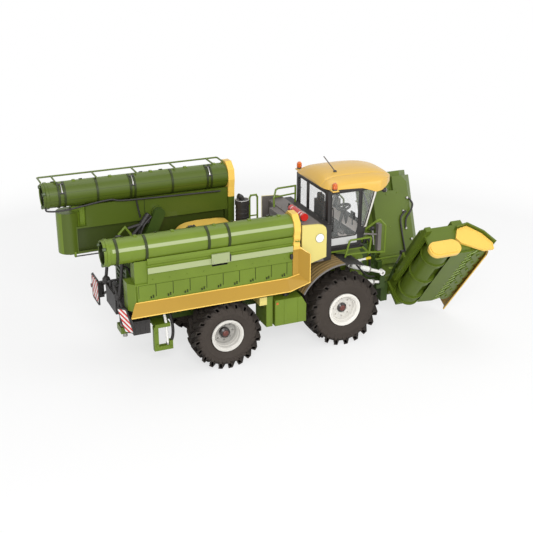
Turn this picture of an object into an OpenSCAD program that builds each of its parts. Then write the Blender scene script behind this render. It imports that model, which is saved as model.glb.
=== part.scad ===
// Toy self-propelled mower, about 1:32, with its side mowers folded along the body and its front mowers half up.
// X runs forward, Y to the left and Z up, in mm. The ground is Z = 0 and X = 0 lies midway between the axles.

/* [Wheels] */
// Distance between the axles
wheelbase = 100; // [96:1:104]
// Front tyre diameter over the lugs
front_tyre_d = 60.2; // [58:0.1:61]
// Front tyre width
front_tyre_w = 21; // [19:0.5:21]
// Rear tyre diameter over the lugs
rear_tyre_d = 54; // [51:0.5:54]
// Rear tyre width
rear_tyre_w = 18.5; // [17:0.5:18.5]
// Lugs on each side of a tyre
lug_count = 20; // [16:1:22]
// Height of a lug above the carcass
lug_height = 2.4; // [1.5:0.1:2.6]

/* [Cab] */
// Width over the cab walls
cab_width = 58; // [54:1:58]
// Thickness of a cab wall and its panes
cab_wall = 1.6; // [1.2:0.1:2]
// Width of the roof
roof_width = 60; // [58:1:62]

/* [Body] */
// Width of the engine body
body_width = 32; // [28:1:32]
// Height of the engine body's top
body_top = 88; // [84:1:88]
// Radius of the fenders
fender_r = 41; // [39:0.5:42]

/* [Side mowers] */
// Outer radius of the tube cover
tube_r = 9.6; // [9:0.1:9.8]
// Wall of the tube cover
tube_wall = 1.4; // [1:0.1:2]
// Length of a lifting arm between its two pins
arm_length = 60; // [58:0.5:60]
// Angle of the right arm above the horizontal, as folded
arm_angle = 28; // [27:0.5:29]
// Lift of the left arm above the right one
left_lift = 36.4; // [30:0.1:36.4]
// Mowing discs under a side mower
disc_count = 9; // [7:1:9]

/* [Front mowers] */
// Fold angle of the right front mower above the horizontal
front_fold_right = 52.4; // [40:0.1:60]
// Fold angle of the left front mower above the horizontal
front_fold_left = 70; // [60:0.1:80]
// Length of a front mower from its hinge
front_length = 86; // [80:1:88]
// Skids under a front mower
skid_count = 7; // [5:1:7]

/* [Hidden] */
$fn = 48;

green = [0.25, 0.42, 0.2];
yellow = [0.86, 0.78, 0.2];
black = [0.12, 0.11, 0.11];
grey = [0.35, 0.34, 0.34];
silver = [0.72, 0.72, 0.72];
orange = [0.95, 0.55, 0.1];
red = [0.75, 0.12, 0.1];

clear_r = 0.08;
seat_gap = 0.02;
front_x = wheelbase / 2;
rear_x = -wheelbase / 2;
front_r = front_tyre_d / 2;
rear_r = rear_tyre_d / 2;
front_out = 46;
rear_out = 47.5;
king_y = 25;
king_r = 1.5;
spindle_r = 2;
front_hub = 5.5;
rear_hub = 3.4;
hub_cap = 1.4;
spindle_gap = 0.3;
rail_in = 9;
rail_out = 14;
rail_z = 34;
rail_top = 44;
post_pin = [-106, 54];
pin_r = 2;
pivot_r = 1.8;
arm_in = 18.5;
arm_out = 22.5;
arm_tip = post_pin + arm_length * [cos(arm_angle), sin(arm_angle)];
tube_o = 33;
tube_z = 103;
hinge_y = 12;
hinge_z = 25;

// A prism with eight sides from one point to another
module rod(a, b, r, sides = 8) {
    v = b - a;
    len = norm(v);
    translate(a) rotate([0, acos(v[2] / len), atan2(v[1], v[0])]) cylinder(h = len, r = r, $fn = sides);
}

// Rods along a list of points, each a little longer so that the corners close
module rails_along(points, r) {
    for (i = [0 : len(points) - 2]) {
        v = points[i + 1] - points[i];
        e = v / norm(v) * r * 0.6;
        rod(points[i] - (i == 0 ? [0, 0, 0] : e), points[i + 1] + (i == len(points) - 2 ? [0, 0, 0] : e), r);
    }
}

// A box between two corners
module box(a, b) { translate(a) cube(b - a); }

// A cylinder along Y between two values of y
module ycyl(x, z, y0, y1, r) { translate([x, y0, z]) rotate([-90, 0, 0]) cylinder(h = y1 - y0, r = r); }

// A cylinder along X between two values of x
module xcyl(y, z, x0, x1, r) { translate([x0, y, z]) rotate([0, 90, 0]) cylinder(h = x1 - x0, r = r); }

// A polygon in x and z, run along y
module xz(points, y0, y1) {
    translate([0, y1, 0]) rotate([90, 0, 0]) linear_extrude(y1 - y0) polygon(points);
}

// A polygon in y and z, run along x
module yz(points, x0, x1) {
    translate([x0, 0, 0]) rotate([90, 0, 90]) linear_extrude(x1 - x0) polygon(points);
}

// The same solids on both sides
module both() {
    children();
    mirror([0, 1, 0]) children();
}

module chassis_frame() {
    color(green) both() {
        box([-112, rail_in, rail_z], [88, rail_out, rail_top]);
        box([-112, rail_in, rail_top - 1], [-100, rail_out, post_pin[1] + 4.5]);
        ycyl(post_pin[0], post_pin[1], rail_out - 1, arm_out + 0.7, pin_r);
    }
}

// The pieces between the two rails, the middle one with a bore for a screw from below
module frame_cross() {
    // Where a piece starts, and its length
    pieces = [[-112, 8], [rear_x - 6, 12], [-4, 12], [front_x - 6, 12], [80, 8]];
    color(green) difference() {
        for (c = pieces) box([c[0], -rail_in, rail_z], [c[0] + c[1], rail_in, rail_top]);
        translate([2, 0, rail_z - 1]) cylinder(h = 7, r = 1.25);
    }
}

module front_axle() {
    color(black) {
        box([front_x - 5, -20, front_r - 4.1], [front_x + 5, 20, rail_z]);
        both() ycyl(front_x, front_r, 19, front_out - front_tyre_w / 2 + front_hub - hub_cap - spindle_gap, spindle_r);
    }
}

module rear_axle() {
    color(black) {
        box([rear_x - 4, -20, rear_r - 5], [rear_x + 4, 20, rear_r + 2]);
        box([rear_x - 4, -rail_out, rear_r + 1], [rear_x + 4, rail_out, rail_z]);
        both() {
            box([rear_x - 3.2, 18.5, rear_r - 11], [rear_x + 3.2, 21.4, rear_r + 11]);
            for (z = [rear_r - 11, rear_r + 8]) {
                box([rear_x - 3.2, 18.5, z], [rear_x + 3.2, king_y, z + 3]);
                translate([rear_x, king_y, z]) cylinder(h = 3, r = 3.2);
            }
            translate([rear_x, king_y, rear_r - 10]) cylinder(h = 20, r = king_r);
        }
    }
}

module knuckle() {
    color(grey) difference() {
        union() {
            translate([rear_x, king_y, rear_r - 7.7]) cylinder(h = 15.4, r = 3);
            ycyl(rear_x, rear_r, king_y, rear_out - rear_tyre_w / 2 + rear_hub - hub_cap - spindle_gap, spindle_r);
        }
        translate([rear_x, king_y, rear_r - 9]) cylinder(h = 18, r = king_r + clear_r);
    }
}
module knuckle_left() { knuckle(); }
module knuckle_right() { mirror([0, 1, 0]) knuckle(); }

// A tyre about the z axis, its outer face at +w/2
module tyre(r, w, seat) {
    h = w / 2;
    c = r - lug_height;
    color(black) union() {
        rotate_extrude() polygon([[seat, -h + 3.4], [seat + 2.5, -h + 1.3], [(seat + c) / 2, -h], [c - 3, -h + 0.5],
            [c - 0.6, -h + 2], [c, -h + 5], [c, h - 5], [c - 0.6, h - 2], [c - 3, h - 0.5],
            [(seat + c) / 2, h], [seat + 2.5, h - 1.3], [seat, h - 3.4]]);
        intersection() {
            translate([0, 0, -h]) cylinder(h = w, r = r);
            for (i = [0 : lug_count - 1], s = [-1, 1])
                rotate([0, 0, (i + (s > 0 ? 0.5 : 0)) * 360 / lug_count])
                    translate([r - 1.6, 0, s * h * 0.55]) rotate([s * 35, 0, 0])
                        cube([5.2, 2.9, h * 1.25], center = true);
        }
    }
}

// A dished rim about the z axis, its outer face towards +z, with a blind bore from the inner side
module rim(r, w, dish, hub_end) {
    h = w / 2;
    seat = r - 1.4;
    color(silver) difference() {
        rotate_extrude() polygon([[0, hub_end], [2.6, hub_end], [4, hub_end - 1], [4, dish + 1.4], [r - 4, dish + 1.4],
            [r - 2.6, h - 2.2], [r - 1.2, h - 0.8], [r, h - 0.8], [r, h - 2], [seat, h - 2.8],
            [seat, -h + 2.8], [r, -h + 2], [r, -h + 0.8], [r - 1.2, -h + 0.8], [r - 2.8, -h + 2.6],
            [r - 2.8, dish - 1.4], [4.4, dish - 1.4], [4.4, dish - 3], [0, dish - 3]]);
        translate([0, 0, -h]) cylinder(h = h + hub_end - hub_cap, r = spindle_r + clear_r);
        for (i = [0 : 7]) rotate([0, 0, i * 45]) translate([(r - 4 + 4.4) / 2 + 0.6, 0, dish]) cylinder(h = 4, r = 0.8);
    }
}

// Sets a wheel part that was made about the z axis on its axle
module on_axle(x, z, out, w, side) {
    translate([x, side * (out - w / 2), z]) rotate([-90 * side, 0, 0]) children();
}
module tyre_front_left() { on_axle(front_x, front_r, front_out, front_tyre_w, 1) tyre(front_r, front_tyre_w, 12.2); }
module tyre_front_right() { on_axle(front_x, front_r, front_out, front_tyre_w, -1) tyre(front_r, front_tyre_w, 12.2); }
module tyre_rear_left() { on_axle(rear_x, rear_r, rear_out, rear_tyre_w, 1) tyre(rear_r, rear_tyre_w, 11.5); }
module tyre_rear_right() { on_axle(rear_x, rear_r, rear_out, rear_tyre_w, -1) tyre(rear_r, rear_tyre_w, 11.5); }
module rim_front_left() { on_axle(front_x, front_r, front_out, front_tyre_w, 1) rim(13.5, front_tyre_w, 2, front_hub); }
module rim_front_right() { on_axle(front_x, front_r, front_out, front_tyre_w, -1) rim(13.5, front_tyre_w, 2, front_hub); }
module rim_rear_left() { on_axle(rear_x, rear_r, rear_out, rear_tyre_w, 1) rim(12.8, rear_tyre_w, -2.5, rear_hub); }
module rim_rear_right() { on_axle(rear_x, rear_r, rear_out, rear_tyre_w, -1) rim(12.8, rear_tyre_w, -2.5, rear_hub); }

cab_outline = [[41, 77], [70, 77], [75.5, 92], [84, 121], [84, 124.8], [41, 124.8]];
cab_inside = [[41 + cab_wall, 77 + cab_wall], [69 - cab_wall / 2, 77 + cab_wall], [75.5 - cab_wall * 1.1, 92.4],
    [84 - cab_wall * 1.1, 121.3], [84 - cab_wall * 1.1, 126], [41 + cab_wall, 126]];
cab_h = cab_width / 2;

// The cab's wall before its windows are cut
module cab_wall_solid() {
    difference() {
        xz(cab_outline, -cab_h, cab_h);
        xz(cab_inside, -cab_h + cab_wall, cab_h - cab_wall);
    }
}

// What the windows take out of the cab's wall
module cab_windows() {
    both() {
        xz([[44, 86], [66.5, 86], [68, 92], [68.5, 122.5], [44, 122.5]], cab_h - 4, cab_h + 2);
        xz([[70.2, 92], [73.4, 92], [81, 119], [81, 122.5], [70.6, 122.5]], cab_h - 4, cab_h + 2);
    }
    box([38, -cab_h + 4, 98], [45, cab_h - 4, 122.5]);
    xz([[70, 93], [82, 93], [90, 119], [78, 119]], -cab_h + 3, cab_h - 3);
}

module cab_shell() {
    color(black) difference() {
        cab_wall_solid();
        cab_windows();
    }
}

module cab_glass() {
    color([0.6, 0.7, 0.7]) intersection() {
        cab_wall_solid();
        cab_windows();
    }
}

module cab_mount() {
    color(green) {
        xz([[40, rail_top], [79, rail_top], [79, 62], [72, 75], [40, 75]], -19, 19);
        box([40.5, -30, 74], [73, 30, 77]);
    }
}

module cab_roof() {
    w = roof_width / 2;
    color(yellow) difference() {
        union() {
            intersection() {
                xz([[39, 126], [60, 125], [70, 124.4], [77, 122], [83, 119.6], [89, 120.2], [95, 122.6], [101, 124.8], [104, 126.6],
                    [103.6, 127.8], [101, 129.8], [98, 131.6], [92, 133.4], [84, 135], [74, 135.7], [63, 135.9], [54, 135.6],
                    [48.5, 134.9], [44, 133.2], [41, 130.6], [39, 127.6]], -w, w);
                yz([[-w, 119], [w, 119], [w, 126], [w - 1.2, 128.4], [w - 3.4, 130], [w - 6.2, 131.4], [w - 9, 132.3], [w - 10.5, 132.7],
                    [w - 11.5, 132.3], [w - 12.5, 133.3], [w - 18, 134.8], [w - 23, 135.5], [w - 28, 135.9], [28 - w, 135.9],
                    [23 - w, 135.5], [18 - w, 134.8], [12.5 - w, 133.3], [11.5 - w, 132.3], [10.5 - w, 132.7], [9 - w, 132.3],
                    [6.2 - w, 131.4], [3.4 - w, 130], [1.2 - w, 128.4], [-w, 126]], 30, 110);
                translate([0, 0, 110]) linear_extrude(40) polygon([[39, 9 - w], [39.6, 5 - w], [41.4, 2 - w], [44.5, 0.4 - w], [48, -w],
                    [80, -w], [88, 1.4 - w], [94.6, 4.6 - w], [99.6, 9.6 - w], [102.6, 15 - w], [104, 21 - w], [104, w - 21], [102.6, w - 15],
                    [99.6, w - 9.6], [94.6, w - 4.6], [88, w - 1.4], [80, w], [48, w], [44.5, w - 0.4], [41.4, w - 2], [39.6, w - 5], [39, w - 9]]);
            }
            both() box([42, w - 2, 125.2], [47.5, w + 4.6, 126.4]);
        }
        xz(cab_outline, -cab_h, cab_h);
    }
}

module beacons() {
    color(orange) both() translate([44.7, roof_width / 2 + 2.3, 126.4]) {
        cylinder(h = 1.2, r = 1.6);
        translate([0, 0, 1.2]) cylinder(h = 3.2, r = 2.1);
        translate([0, 0, 4.4]) cylinder(h = 1.3, r1 = 2.1, r2 = 1);
    }
}

module cab_interior() {
    color(black) {
        box([48, -8, 78.6], [61, 8, 88]);
        box([47, -8, 87], [50.5, 8, 108]);
        rod([65, 0, 79], [69, -2, 100], 1.2);
        translate([68.8, -2, 100.4]) rotate([0, -15, 0]) {
            rotate_extrude() translate([5, 0]) circle(r = 0.8, $fn = 12);
            box([-5, -0.7, -0.5], [5, 0.7, 0.5]);
        }
    }
}

module mirrors() {
    color(grey) {
        both() {
            box([81.5, 33.4, 73], [84.5, 37.6, 95]);
            rod([73, cab_h + 0.8, 86], [82.4, 35, 86], 0.8);
        }
        rod([54.7, -12, 135.2], [44.8, -12, 148], 0.45);
    }
}

module engine_body() {
    color(green) difference() {
        xz([[-96, rail_top], [12, rail_top], [12, body_top], [-104, body_top], [-118, 80], [-118, 60], [-96, 60]],
            -body_width / 2, body_width / 2);
        for (i = [0 : 4]) box([-120, -12, 62 + i * 4], [-116.8, 12, 64 + i * 4]);
    }
}

module hood_top() {
    w = body_width / 2 + 1;
    color(yellow) intersection() {
        xz([[-74, body_top], [-66, 97], [-60, 100], [-52, 101.4], [-36, 100.6], [-28, 98.6], [-24, body_top]], -w, w);
        yz([[-w, body_top], [w, body_top], [w, body_top + 8], [w - 1.4, body_top + 11], [w - 5, 101.4], [5 - w, 101.4],
            [1.4 - w, body_top + 11], [-w, body_top + 8]], -80, -20);
    }
}

module cooler_housing() {
    color(grey) {
        box([13, -18, rail_top], [40, 18, 73]);
        box([13, -21, 72], [40, 21, 100]);
        box([19.5, -38, 72], [40, 38, 101]);
    }
}

module side_panels() {
    color(yellow) both()
        {
        xz([[14, 72.5], [21.5, 72.5], [34.8, 76], [34.8, 97], [34, 100.4], [31.6, 102.6], [28, 103.6], [14, 104.4]], 38, 40);
        box([-22, 24, 45], [-16, 42, 51.5]);
    }
}

module fenders() {
    color(grey) both() {
        translate([front_x - 2, 47, front_r]) rotate([90, 0, 0]) rotate([0, 0, 66])
            rotate_extrude(angle = 84) translate([fender_r - 1.5, 0]) square([1.5, 22]);
        box([front_x - 8, 19, 66], [front_x + 4, 27, 69]);
        box([front_x - 8, 25, 66], [front_x + 4, 27, 70]);
    }
}

module tanks() {
    color(green) both() {
        xz([[-9, 25.4], [17.4, 25.4], [17.4, 40], [13.4, 47], [-9, 47]], 18.4, 42);
        box([-15.6, 18.4, 25], [-10.4, 40, 50.5]);
        box([-12, rail_out + 0.1, 35], [8, 19, 43]);
    }
}

module rails() {
    r = 0.8;
    color(green) {
        rails_along([[-7, 14, body_top], [-7, 14, 113], [-6, 14, 115], [-1.4, 14, 115], [-0.4, 14, 113], [-0.4, 14, body_top]], r);
        rod([-7, 14, 98], [-0.4, 14, 98], 0.6);
        rails_along([[16.6, 19.6, 100.35], [17.4, 22, 107], [20, 24, 113.4], [22, 24, 114.4], [37.5, 24, 114.8], [37.5, 24, 101]], r);
        rod([17.6, 22.4, 107.8], [37.5, 24, 108.4], 0.7);
        both() {
            rails_along([[53.5, 36, 71], [57, 36, 84], [58.4, 36, 84.8], [75.4, 36, 84.8], [76.2, 36, 83.8], [74.8, 36, 71.6], [71.4, 30.9, 75.6]], r);
            rod([54.2, 36, 73], [75, 36, 72.4], 0.7);
            rails_along([[74.4, 30, 90], [81, 36, 98], [83.4, 36, 98.6], [88.4, 36, 93.4], [88.8, 36, 92], [88.8, 36, 70.6], [75.2, 36, 72.2]], r);
            rails_along([[-114, 11, 83.2], [-115, 11, 99], [-110, 11, 104], [-106, 11, 98], [-104, 11, 88.4]], 0.9);
        }
    }
}

module muffler() {
    color(black) translate([-15, 14 - 4, body_top]) {
        cylinder(h = 22, r = 5.2);
        translate([0, 0, 22]) cylinder(h = 4, r = 5.8);
    }
}

module extinguisher() {
    color(red) {
        ycyl(24, 104.2, -23, 2, 3);
        ycyl(24, 104.2, 2, 4.5, 1.2);
        box([22.6, -18, 101], [25.4, -15, 103]);
        box([22.6, -4, 101], [25.4, -1, 103]);
    }
}

module rear_hitch() {
    color(green) {
        difference() {
            union() {
                box([-112, -8, 24], [-104, 8, rail_z]);
                box([-122, -6, 24], [-104, 6, 29]);
            }
            translate([-117.5, 0, 20]) cylinder(h = 14, r = 2);
        }
        both() {
            box([-101, rail_out + 0.1, 34], [-89, 27, 37]);
            box([-102, 23, 15], [-98.5, 27, 35]);
            box([-102, 23, 15], [-88, 27, 18.5]);
            box([-90, 23, 15], [-87.4, 27, 22]);
        }
    }
}

module board_brackets() {
    // Side, then where the two bars end in y and their heights there
    ends = [[1, 34, 50.6, 42], [-1, 27, 55.5, 46]];
    color(black) {
        box([-127, -14, 45], [-112.3, 14, 59.8]);
        for (e = ends) {
            rails_along([[-118.1, e[0] * 6, 64.4], [-125, e[0] * 6, 64.4], [-125, e[0] * e[1], e[2]]], 1.1);
            rails_along([[-125, e[0] * 6, 64.4], [-125, e[0] * 6, 58], [-125, e[0] * e[1], e[3]]], 1.1);
        }
        both() {
            box([-119, rail_out + 0.1, 34], [-106, 32, 45]);
            rod([-125, 19.5, 62], [-121.4, 19.5, 88], 1.3);
            translate([-125.4, 17.5, 61]) sphere(r = 3.2, $fn = 16);
            box([-126, 13, 54], [-124, 19, 62]);
        }
        box([-128.9, 33, 40], [-124, 36, 53]);
        box([-127.5, -28.2, 44], [-124.4, -25.5, 56]);
        rails_along([[-129.4, 28.6, 36], [-129.4, 28.6, 55], [-129.4, 30.6, 56], [-129.4, 46, 56], [-129.4, 48.4, 54.6],
            [-129.4, 48.4, 37], [-129.4, 46.4, 35.4], [-129.4, 30.4, 35.4], [-129.4, 28.6, 36]], 0.7);
    }
}

module warning_boards() {
    color([0.9, 0.9, 0.9]) {
        box([-130, 29.5, 37.3], [-128.9, 47.3, 54.2]);
        translate([-129.2, -28.8, 57]) rotate([0, -14.5, 0]) rotate([0, 0, 33]) box([-0.6, -8.5, -20.6], [0.6, 0, 0]);
    }
}

module rear_lamps() {
    color(red) for (l = [[-130.4, 50.6, 44], [-127, -26.8, 42.2]])
        translate(l) rotate([0, 90, 0]) cylinder(h = 2.2, r = 1.4);
}

module front_lift_frame() {
    color(green) {
        box([88, -9, 33], [100, 9, 44]);
        box([98, -18, 18], [104, 18, 34]);
        box([90, -24, 33], [97.6, 24, 36.6]);
        both() {
            box([93.2, 20, 34], [97.6, 24, 43.8]);
            box([99, 5, 33], [103, 9, 50]);
            xcyl(hinge_y, hinge_z, 103, 134, pin_r);
        }
    }
}

module lift_cylinders() {
    color(silver) both() {
        rod([66, 22, 57.2], [84, 22, 50.6], 2.3, 16);
        rod([83, 22, 51], [95, 22, 46.6], 1.3, 16);
        ycyl(66, 57.2, 19, 22.5, 2.4);
        ycyl(95.5, 46.4, 20.2, 23.8, 2.4);
        rod([72, 22, 42], [88, 22, 39], 2, 16);
        rod([87, 22, 39.2], [92.9, 22, 38.1], 1.2, 16);
        ycyl(72, 42, rail_out, 22.5, 1.7);
    }
}

// A lifting arm in x and z, run from arm_in to arm_out, with the mower's pin on its far end
module arm_shape(angle) {
    tip = post_pin + arm_length * [cos(angle), sin(angle)];
    color(green) difference() {
        union() {
            xz(concat([for (a = [90 : 20 : 270]) post_pin + 5 * [cos(a + angle), sin(a + angle)]],
                [for (a = [-90 : 20 : 90]) tip + 4.5 * [cos(a + angle), sin(a + angle)]]), arm_in, arm_out);
            ycyl(tip[0], tip[1], arm_in + 1, 29.4, pivot_r);
        }
        ycyl(post_pin[0], post_pin[1], arm_in - 1, arm_out + 1, pin_r + clear_r);
    }
}
module arm_left() { arm_shape(arm_angle + left_lift); }
module arm_right() { mirror([0, 1, 0]) arm_shape(arm_angle); }

// The drive shaft that rides on an arm
module shaft_shape(angle) {
    l = arm_length;
    color(black) translate([post_pin[0], (arm_in + arm_out) / 2, post_pin[1]]) rotate([0, -angle, 0]) {
        rod([l - 3, 0, 7.8], [l - 13, 0, 9.8], 2.1, 16);
        for (i = [0 : 3]) rod([l - 4 - i * 2.6, 0, 8 + i * 0.52], [l - 5.2 - i * 2.6, 0, 8.24 + i * 0.52], 2.5, 16);
        rod([l - 12.4, 0, 9.7], [l - 24, 0, 13.4], 1.5, 12);
        rod([l - 12.8, 0, 10.4], [l - 19, 0, 19], 1.2, 12);
        box([l - 10, -1.2, 5], [l - 7, 1.2, 7.4]);
    }
}
module shaft_left() { shaft_shape(arm_angle + left_lift); }
module shaft_right() { mirror([0, 1, 0]) shaft_shape(arm_angle); }

lift_shift = arm_length * [cos(arm_angle + left_lift) - cos(arm_angle), 0, sin(arm_angle + left_lift) - sin(arm_angle)];

// Sets a side mower that was made in x, o (outwards) and z as the folded right one is
module on_right() { mirror([0, 1, 0]) children(); }
module on_left() { translate(lift_shift) children(); }

// Sets solids that were made about the tube's axis, outwards along y
module about_tube() { translate([0, tube_o, tube_z]) children(); }

module side_tube() {
    color(green) about_tube() difference() {
        xcyl(0, 0, -139, 5.6, tube_r);
        xcyl(0, 0, -140, 4, tube_r - tube_wall);
    }
}
module side_tube_left() { on_left() side_tube(); }
module side_tube_right() { on_right() side_tube(); }

// Half rings round the tube: wide ones on its outer side, narrow ones on its inner side
module tube_bands() {
    // Angle at which a ring starts, its width and where the rings stand along the tube
    rings = [[5, 2, [-131.2, -109.8, -62.8, -46.8]], [185, 1.6, [-128.6, -124.2, -99.6, -74, -70.6, -40.7, -12, -8.8]]];
    color(black) about_tube() for (g = rings, x = g[2]) translate([x, 0, 0]) rotate([0, 90, 0]) rotate([0, 0, g[0]])
        rotate_extrude(angle = 170) translate([tube_r + seat_gap, 0]) square([0.58, g[1]]);
}
module tube_bands_left() { on_left() tube_bands(); }
module tube_bands_right() { on_right() tube_bands(); }

module side_deck(nose) {
    pitch = 104 / (disc_count - 1);
    color(green) difference() {
        union() {
            about_tube() {
                yz([[-8, -8.5], [-8, -46], [-6, -47.2], [5, -47.2], [8, -43], [8, -17.5], [9.2, -17.5], [9.2, -13], [8, -12.4],
                    [8, -11.4], [8.9, -10.2], [9.2, -8], [8.6, -5.8], [6, -8.5]], -108.8, 5.5);
                translate([0, 0, -46.5]) linear_extrude(21.5)
                    polygon([[-108.7, -8], [-108.7, 8], [-118.5, 8], [-123, 2], [-123, -8]]);
                box([-118.3, -3, -25.1], [-108.7, 7, -7.7]);
                if (nose) translate([-121, 0, -46]) cylinder(h = 32.5, r = 9);
                for (i = [0 : disc_count - 1]) {
                    box([-107.4 + i * pitch, 7.5, -37], [-106.5 + i * pitch, 8.7, -35.4]);
                    box([-105.6 + i * pitch, 7.5, -36.6], [-104.8 + i * pitch, 8.7, -34.6]);
                }
                box([-60.5, 7, -17.2], [-46.5, 10.6, -9.4]);
            }
            ycyl(arm_tip[0], arm_tip[1], 23, 26, 5);
        }
        ycyl(arm_tip[0], arm_tip[1], 20, 30, pivot_r + clear_r);
        about_tube() {
            xcyl(0, 0, -130, 12, tube_r + 0.8);
            for (i = [0 : disc_count - 1]) box([-103.2 + i * pitch, 7.5, -36], [-102.8 + i * pitch, 9, -26.4]);
            box([-116, 7.5, -26.4], [6, 9, -26]);
            box([-118.2, 6.6, -40], [-117, 9, -26]);
            box([-116, -20, -44.5], [3, -5, -26.4]);
            box([-59.5, 6.6, -19.6], [-47.5, 12, -17.2]);
        }
    }
}
module side_deck_left() { on_left() side_deck(true); }
module side_deck_right() { on_right() side_deck(false); }

// Faces of a solid with eight corners, four on one side and four on the other
eight_faces = [[2, 1, 0], [3, 2, 0], [5, 6, 4], [6, 7, 4], [1, 5, 0], [5, 4, 0], [2, 6, 1], [6, 5, 1], [3, 7, 2], [7, 6, 2],
    [0, 4, 3], [4, 7, 3]];

module side_skirt() {
    color(yellow) about_tube() {
        difference() {
            yz([[8.2, -39], [8.2, -41], [14.3, -48], [15, -47.2]], -124.6, 1.2);
            translate([0, 0, -50]) linear_extrude(14) polygon([[-126, 8], [-119, 8], [-124.6, 15.2], [-126, 15.2]]);
        }
        polyhedron([[1, 8.2, -41], [1, 14.3, -48], [17.4, 14.3, -43.4], [11, 8.2, -38.4],
            [1, 8.2, -39], [1, 15, -47.2], [17.6, 15, -42], [12.4, 8.2, -37]],
            eight_faces);
        polyhedron([[10.4, 8.2, -38.6], [17, 15.2, -43.2], [17, 15.2, -19.4], [10.4, 8.2, -15],
            [12.4, 8.2, -38.6], [17.8, 14.4, -43.2], [17.8, 14.4, -19.4], [12.4, 8.2, -15]], [for (f = eight_faces) [f[2], f[1], f[0]]]);
        yz([[-8, -41], [8.2, -41], [8.2, -19], [10, -13], [9.4, -10.4], [10.4, -7], [10.2, -4.4], [11, -1], [10.2, 5], [5, 11],
            [-3, 11.5], [-9.5, 6], [-10.4, -2], [-9.4, -8]], 5.8, 11);
    }
}
module side_skirt_left() { on_left() side_skirt(); }
module side_skirt_right() { on_right() side_skirt(); }

module side_rail_left() {
    z = tube_r + 1.4;
    color(green) on_left() about_tube() {
        rails_along([[-139.4, -1, z], [-139.4, 11, z], [-138.4, 12, z], [3.4, 12, z], [4.4, 11, z], [4.4, -1, z]], 0.7);
        for (i = [0 : 4]) rod([-129 + 31 * i, -3, z], [-129 + 31 * i, 12.4, z], 0.7);
    }
}

// Sets a front mower made with u along -y, as the right one at work, at its fold angle
module fold_right() { translate([0, -hinge_y, hinge_z]) rotate([-front_fold_right, 0, 0]) children(); }
module fold_left() { translate([0, hinge_y, hinge_z]) rotate([front_fold_left, 0, 0]) mirror([0, 1, 0]) children(); }

drum_at = [118, -11];
drum_r = 10;

module front_deck() {
    u = front_length;
    color(green) difference() {
        union() {
            box([112, -74, 1], [138, -12, 10]);
            box([110, -20.6, 5], [142, -19, 11.2]);
            translate([0, 0, 3]) linear_extrude(4) polygon([[134, 4], [148, 4], [148, -u + 6], [143, -u], [134, -u]]);
            box([108, -u, -4], [140, 0, 3.5]);
            xcyl(0, 0, 106, 132, 4.5);
            box([106, -8, -18], [150, -5, 2]);
            box([106, -8, -4], [132, 0, 3.5]);
            box([106, -u, -20], [140, -u + 2, 3.5]);
            xz([[140, 3.5], [146, 3.5], [160, -9], [160, -10.5], [158, -10.5], [145, 1.5], [140, 1.5]], -u, 4);
            xz([[134, -0.2], [144.8, 1.6], [156, -8], [162.4, -19], [161, -19.6], [154.8, -8.6], [144.4, 0.2], [134.2, -1.4]], -u - 4.5, -u + 0.5);
            box([104.6, -u - 7, -3], [109.6, -20, 1]);
        }
        xcyl(0, 0, 100, 140, pin_r + clear_r);
        ycyl(drum_at[0], drum_at[1], -u + 2, -8, drum_r + 1.4);
    }
}
module front_deck_left() { fold_left() front_deck(); }
module front_deck_right() { fold_right() front_deck(); }

// Cutter bar between the deck's end plates, with a skid under each cutting disc
module front_bar() {
    u = front_length;
    color(green) difference() {
        union() {
            xz([[124, -20.5], [138, -21.6], [150, -20.2], [156, -17], [155, -14.5], [140, -13], [122, -13]],
               -u + 2 + seat_gap, -8 - seat_gap);
            for (i = [0 : skid_count - 1])
                translate([150, -13 - i * (u - 22) / (skid_count - 1), -22]) cylinder(h = 3, r = 5.6);
        }
        ycyl(drum_at[0], drum_at[1], -u + 1, -7, drum_r + 1.4);
    }
}
module front_bar_left() { fold_left() front_bar(); }
module front_bar_right() { fold_right() front_bar(); }

module front_drums() {
    u = front_length - 2.2;
    color(green) difference() {
        union() {
            ycyl(drum_at[0], drum_at[1], -u, -8.2, drum_r);
            for (r = [8.2, 18, 43, 68, u - 1.4]) ycyl(drum_at[0], drum_at[1], -r - 1.4, -r, drum_r + 1.1);
        }
        for (w = [[21.5, 37], [46.5, 64]]) difference() {
            box([drum_at[0] - 1, -w[1], drum_at[1] - 12], [drum_at[0] + 7.4, -w[0], drum_at[1] - 5.5]);
            ycyl(drum_at[0], drum_at[1], -u - 1, 0, drum_r - 2.6);
        }
    }
}
module front_drums_left() { fold_left() front_drums(); }
module front_drums_right() { fold_right() front_drums(); }

module front_skirt() {
    u = front_length;
    color(yellow) {
        xz([[157.6, -10.7], [160, -10.7], [160, -21], [157, -24], [156, -23.4], [158.4, -20.4]], -u + 8, 9);
        xz([[135, -1.8], [144.2, -0.2], [154.2, -9], [160, -18.8], [158.5, -24.2], [150, -24.2], [133, -14.5], [130.4, -9.5]], -u - 2.2, -u - 0.2);
    }
}
module front_skirt_left() { fold_left() front_skirt(); }
module front_skirt_right() { fold_right() front_skirt(); }

module front_cover() {
    u = front_length;
    color(yellow) for (f = [[6.6, 3], [5.2, 3.8]]) {
        for (x = [109.4, 124]) ycyl(x, -17, -u - f[1], -u - 0.1, f[0]);
        box([109.4, -u - f[1], -17 - f[0]], [124, -u - 0.1, -17 + f[0]]);
    }
}
module front_cover_left() { fold_left() front_cover(); }
module front_cover_right() { fold_right() front_cover(); }

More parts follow.
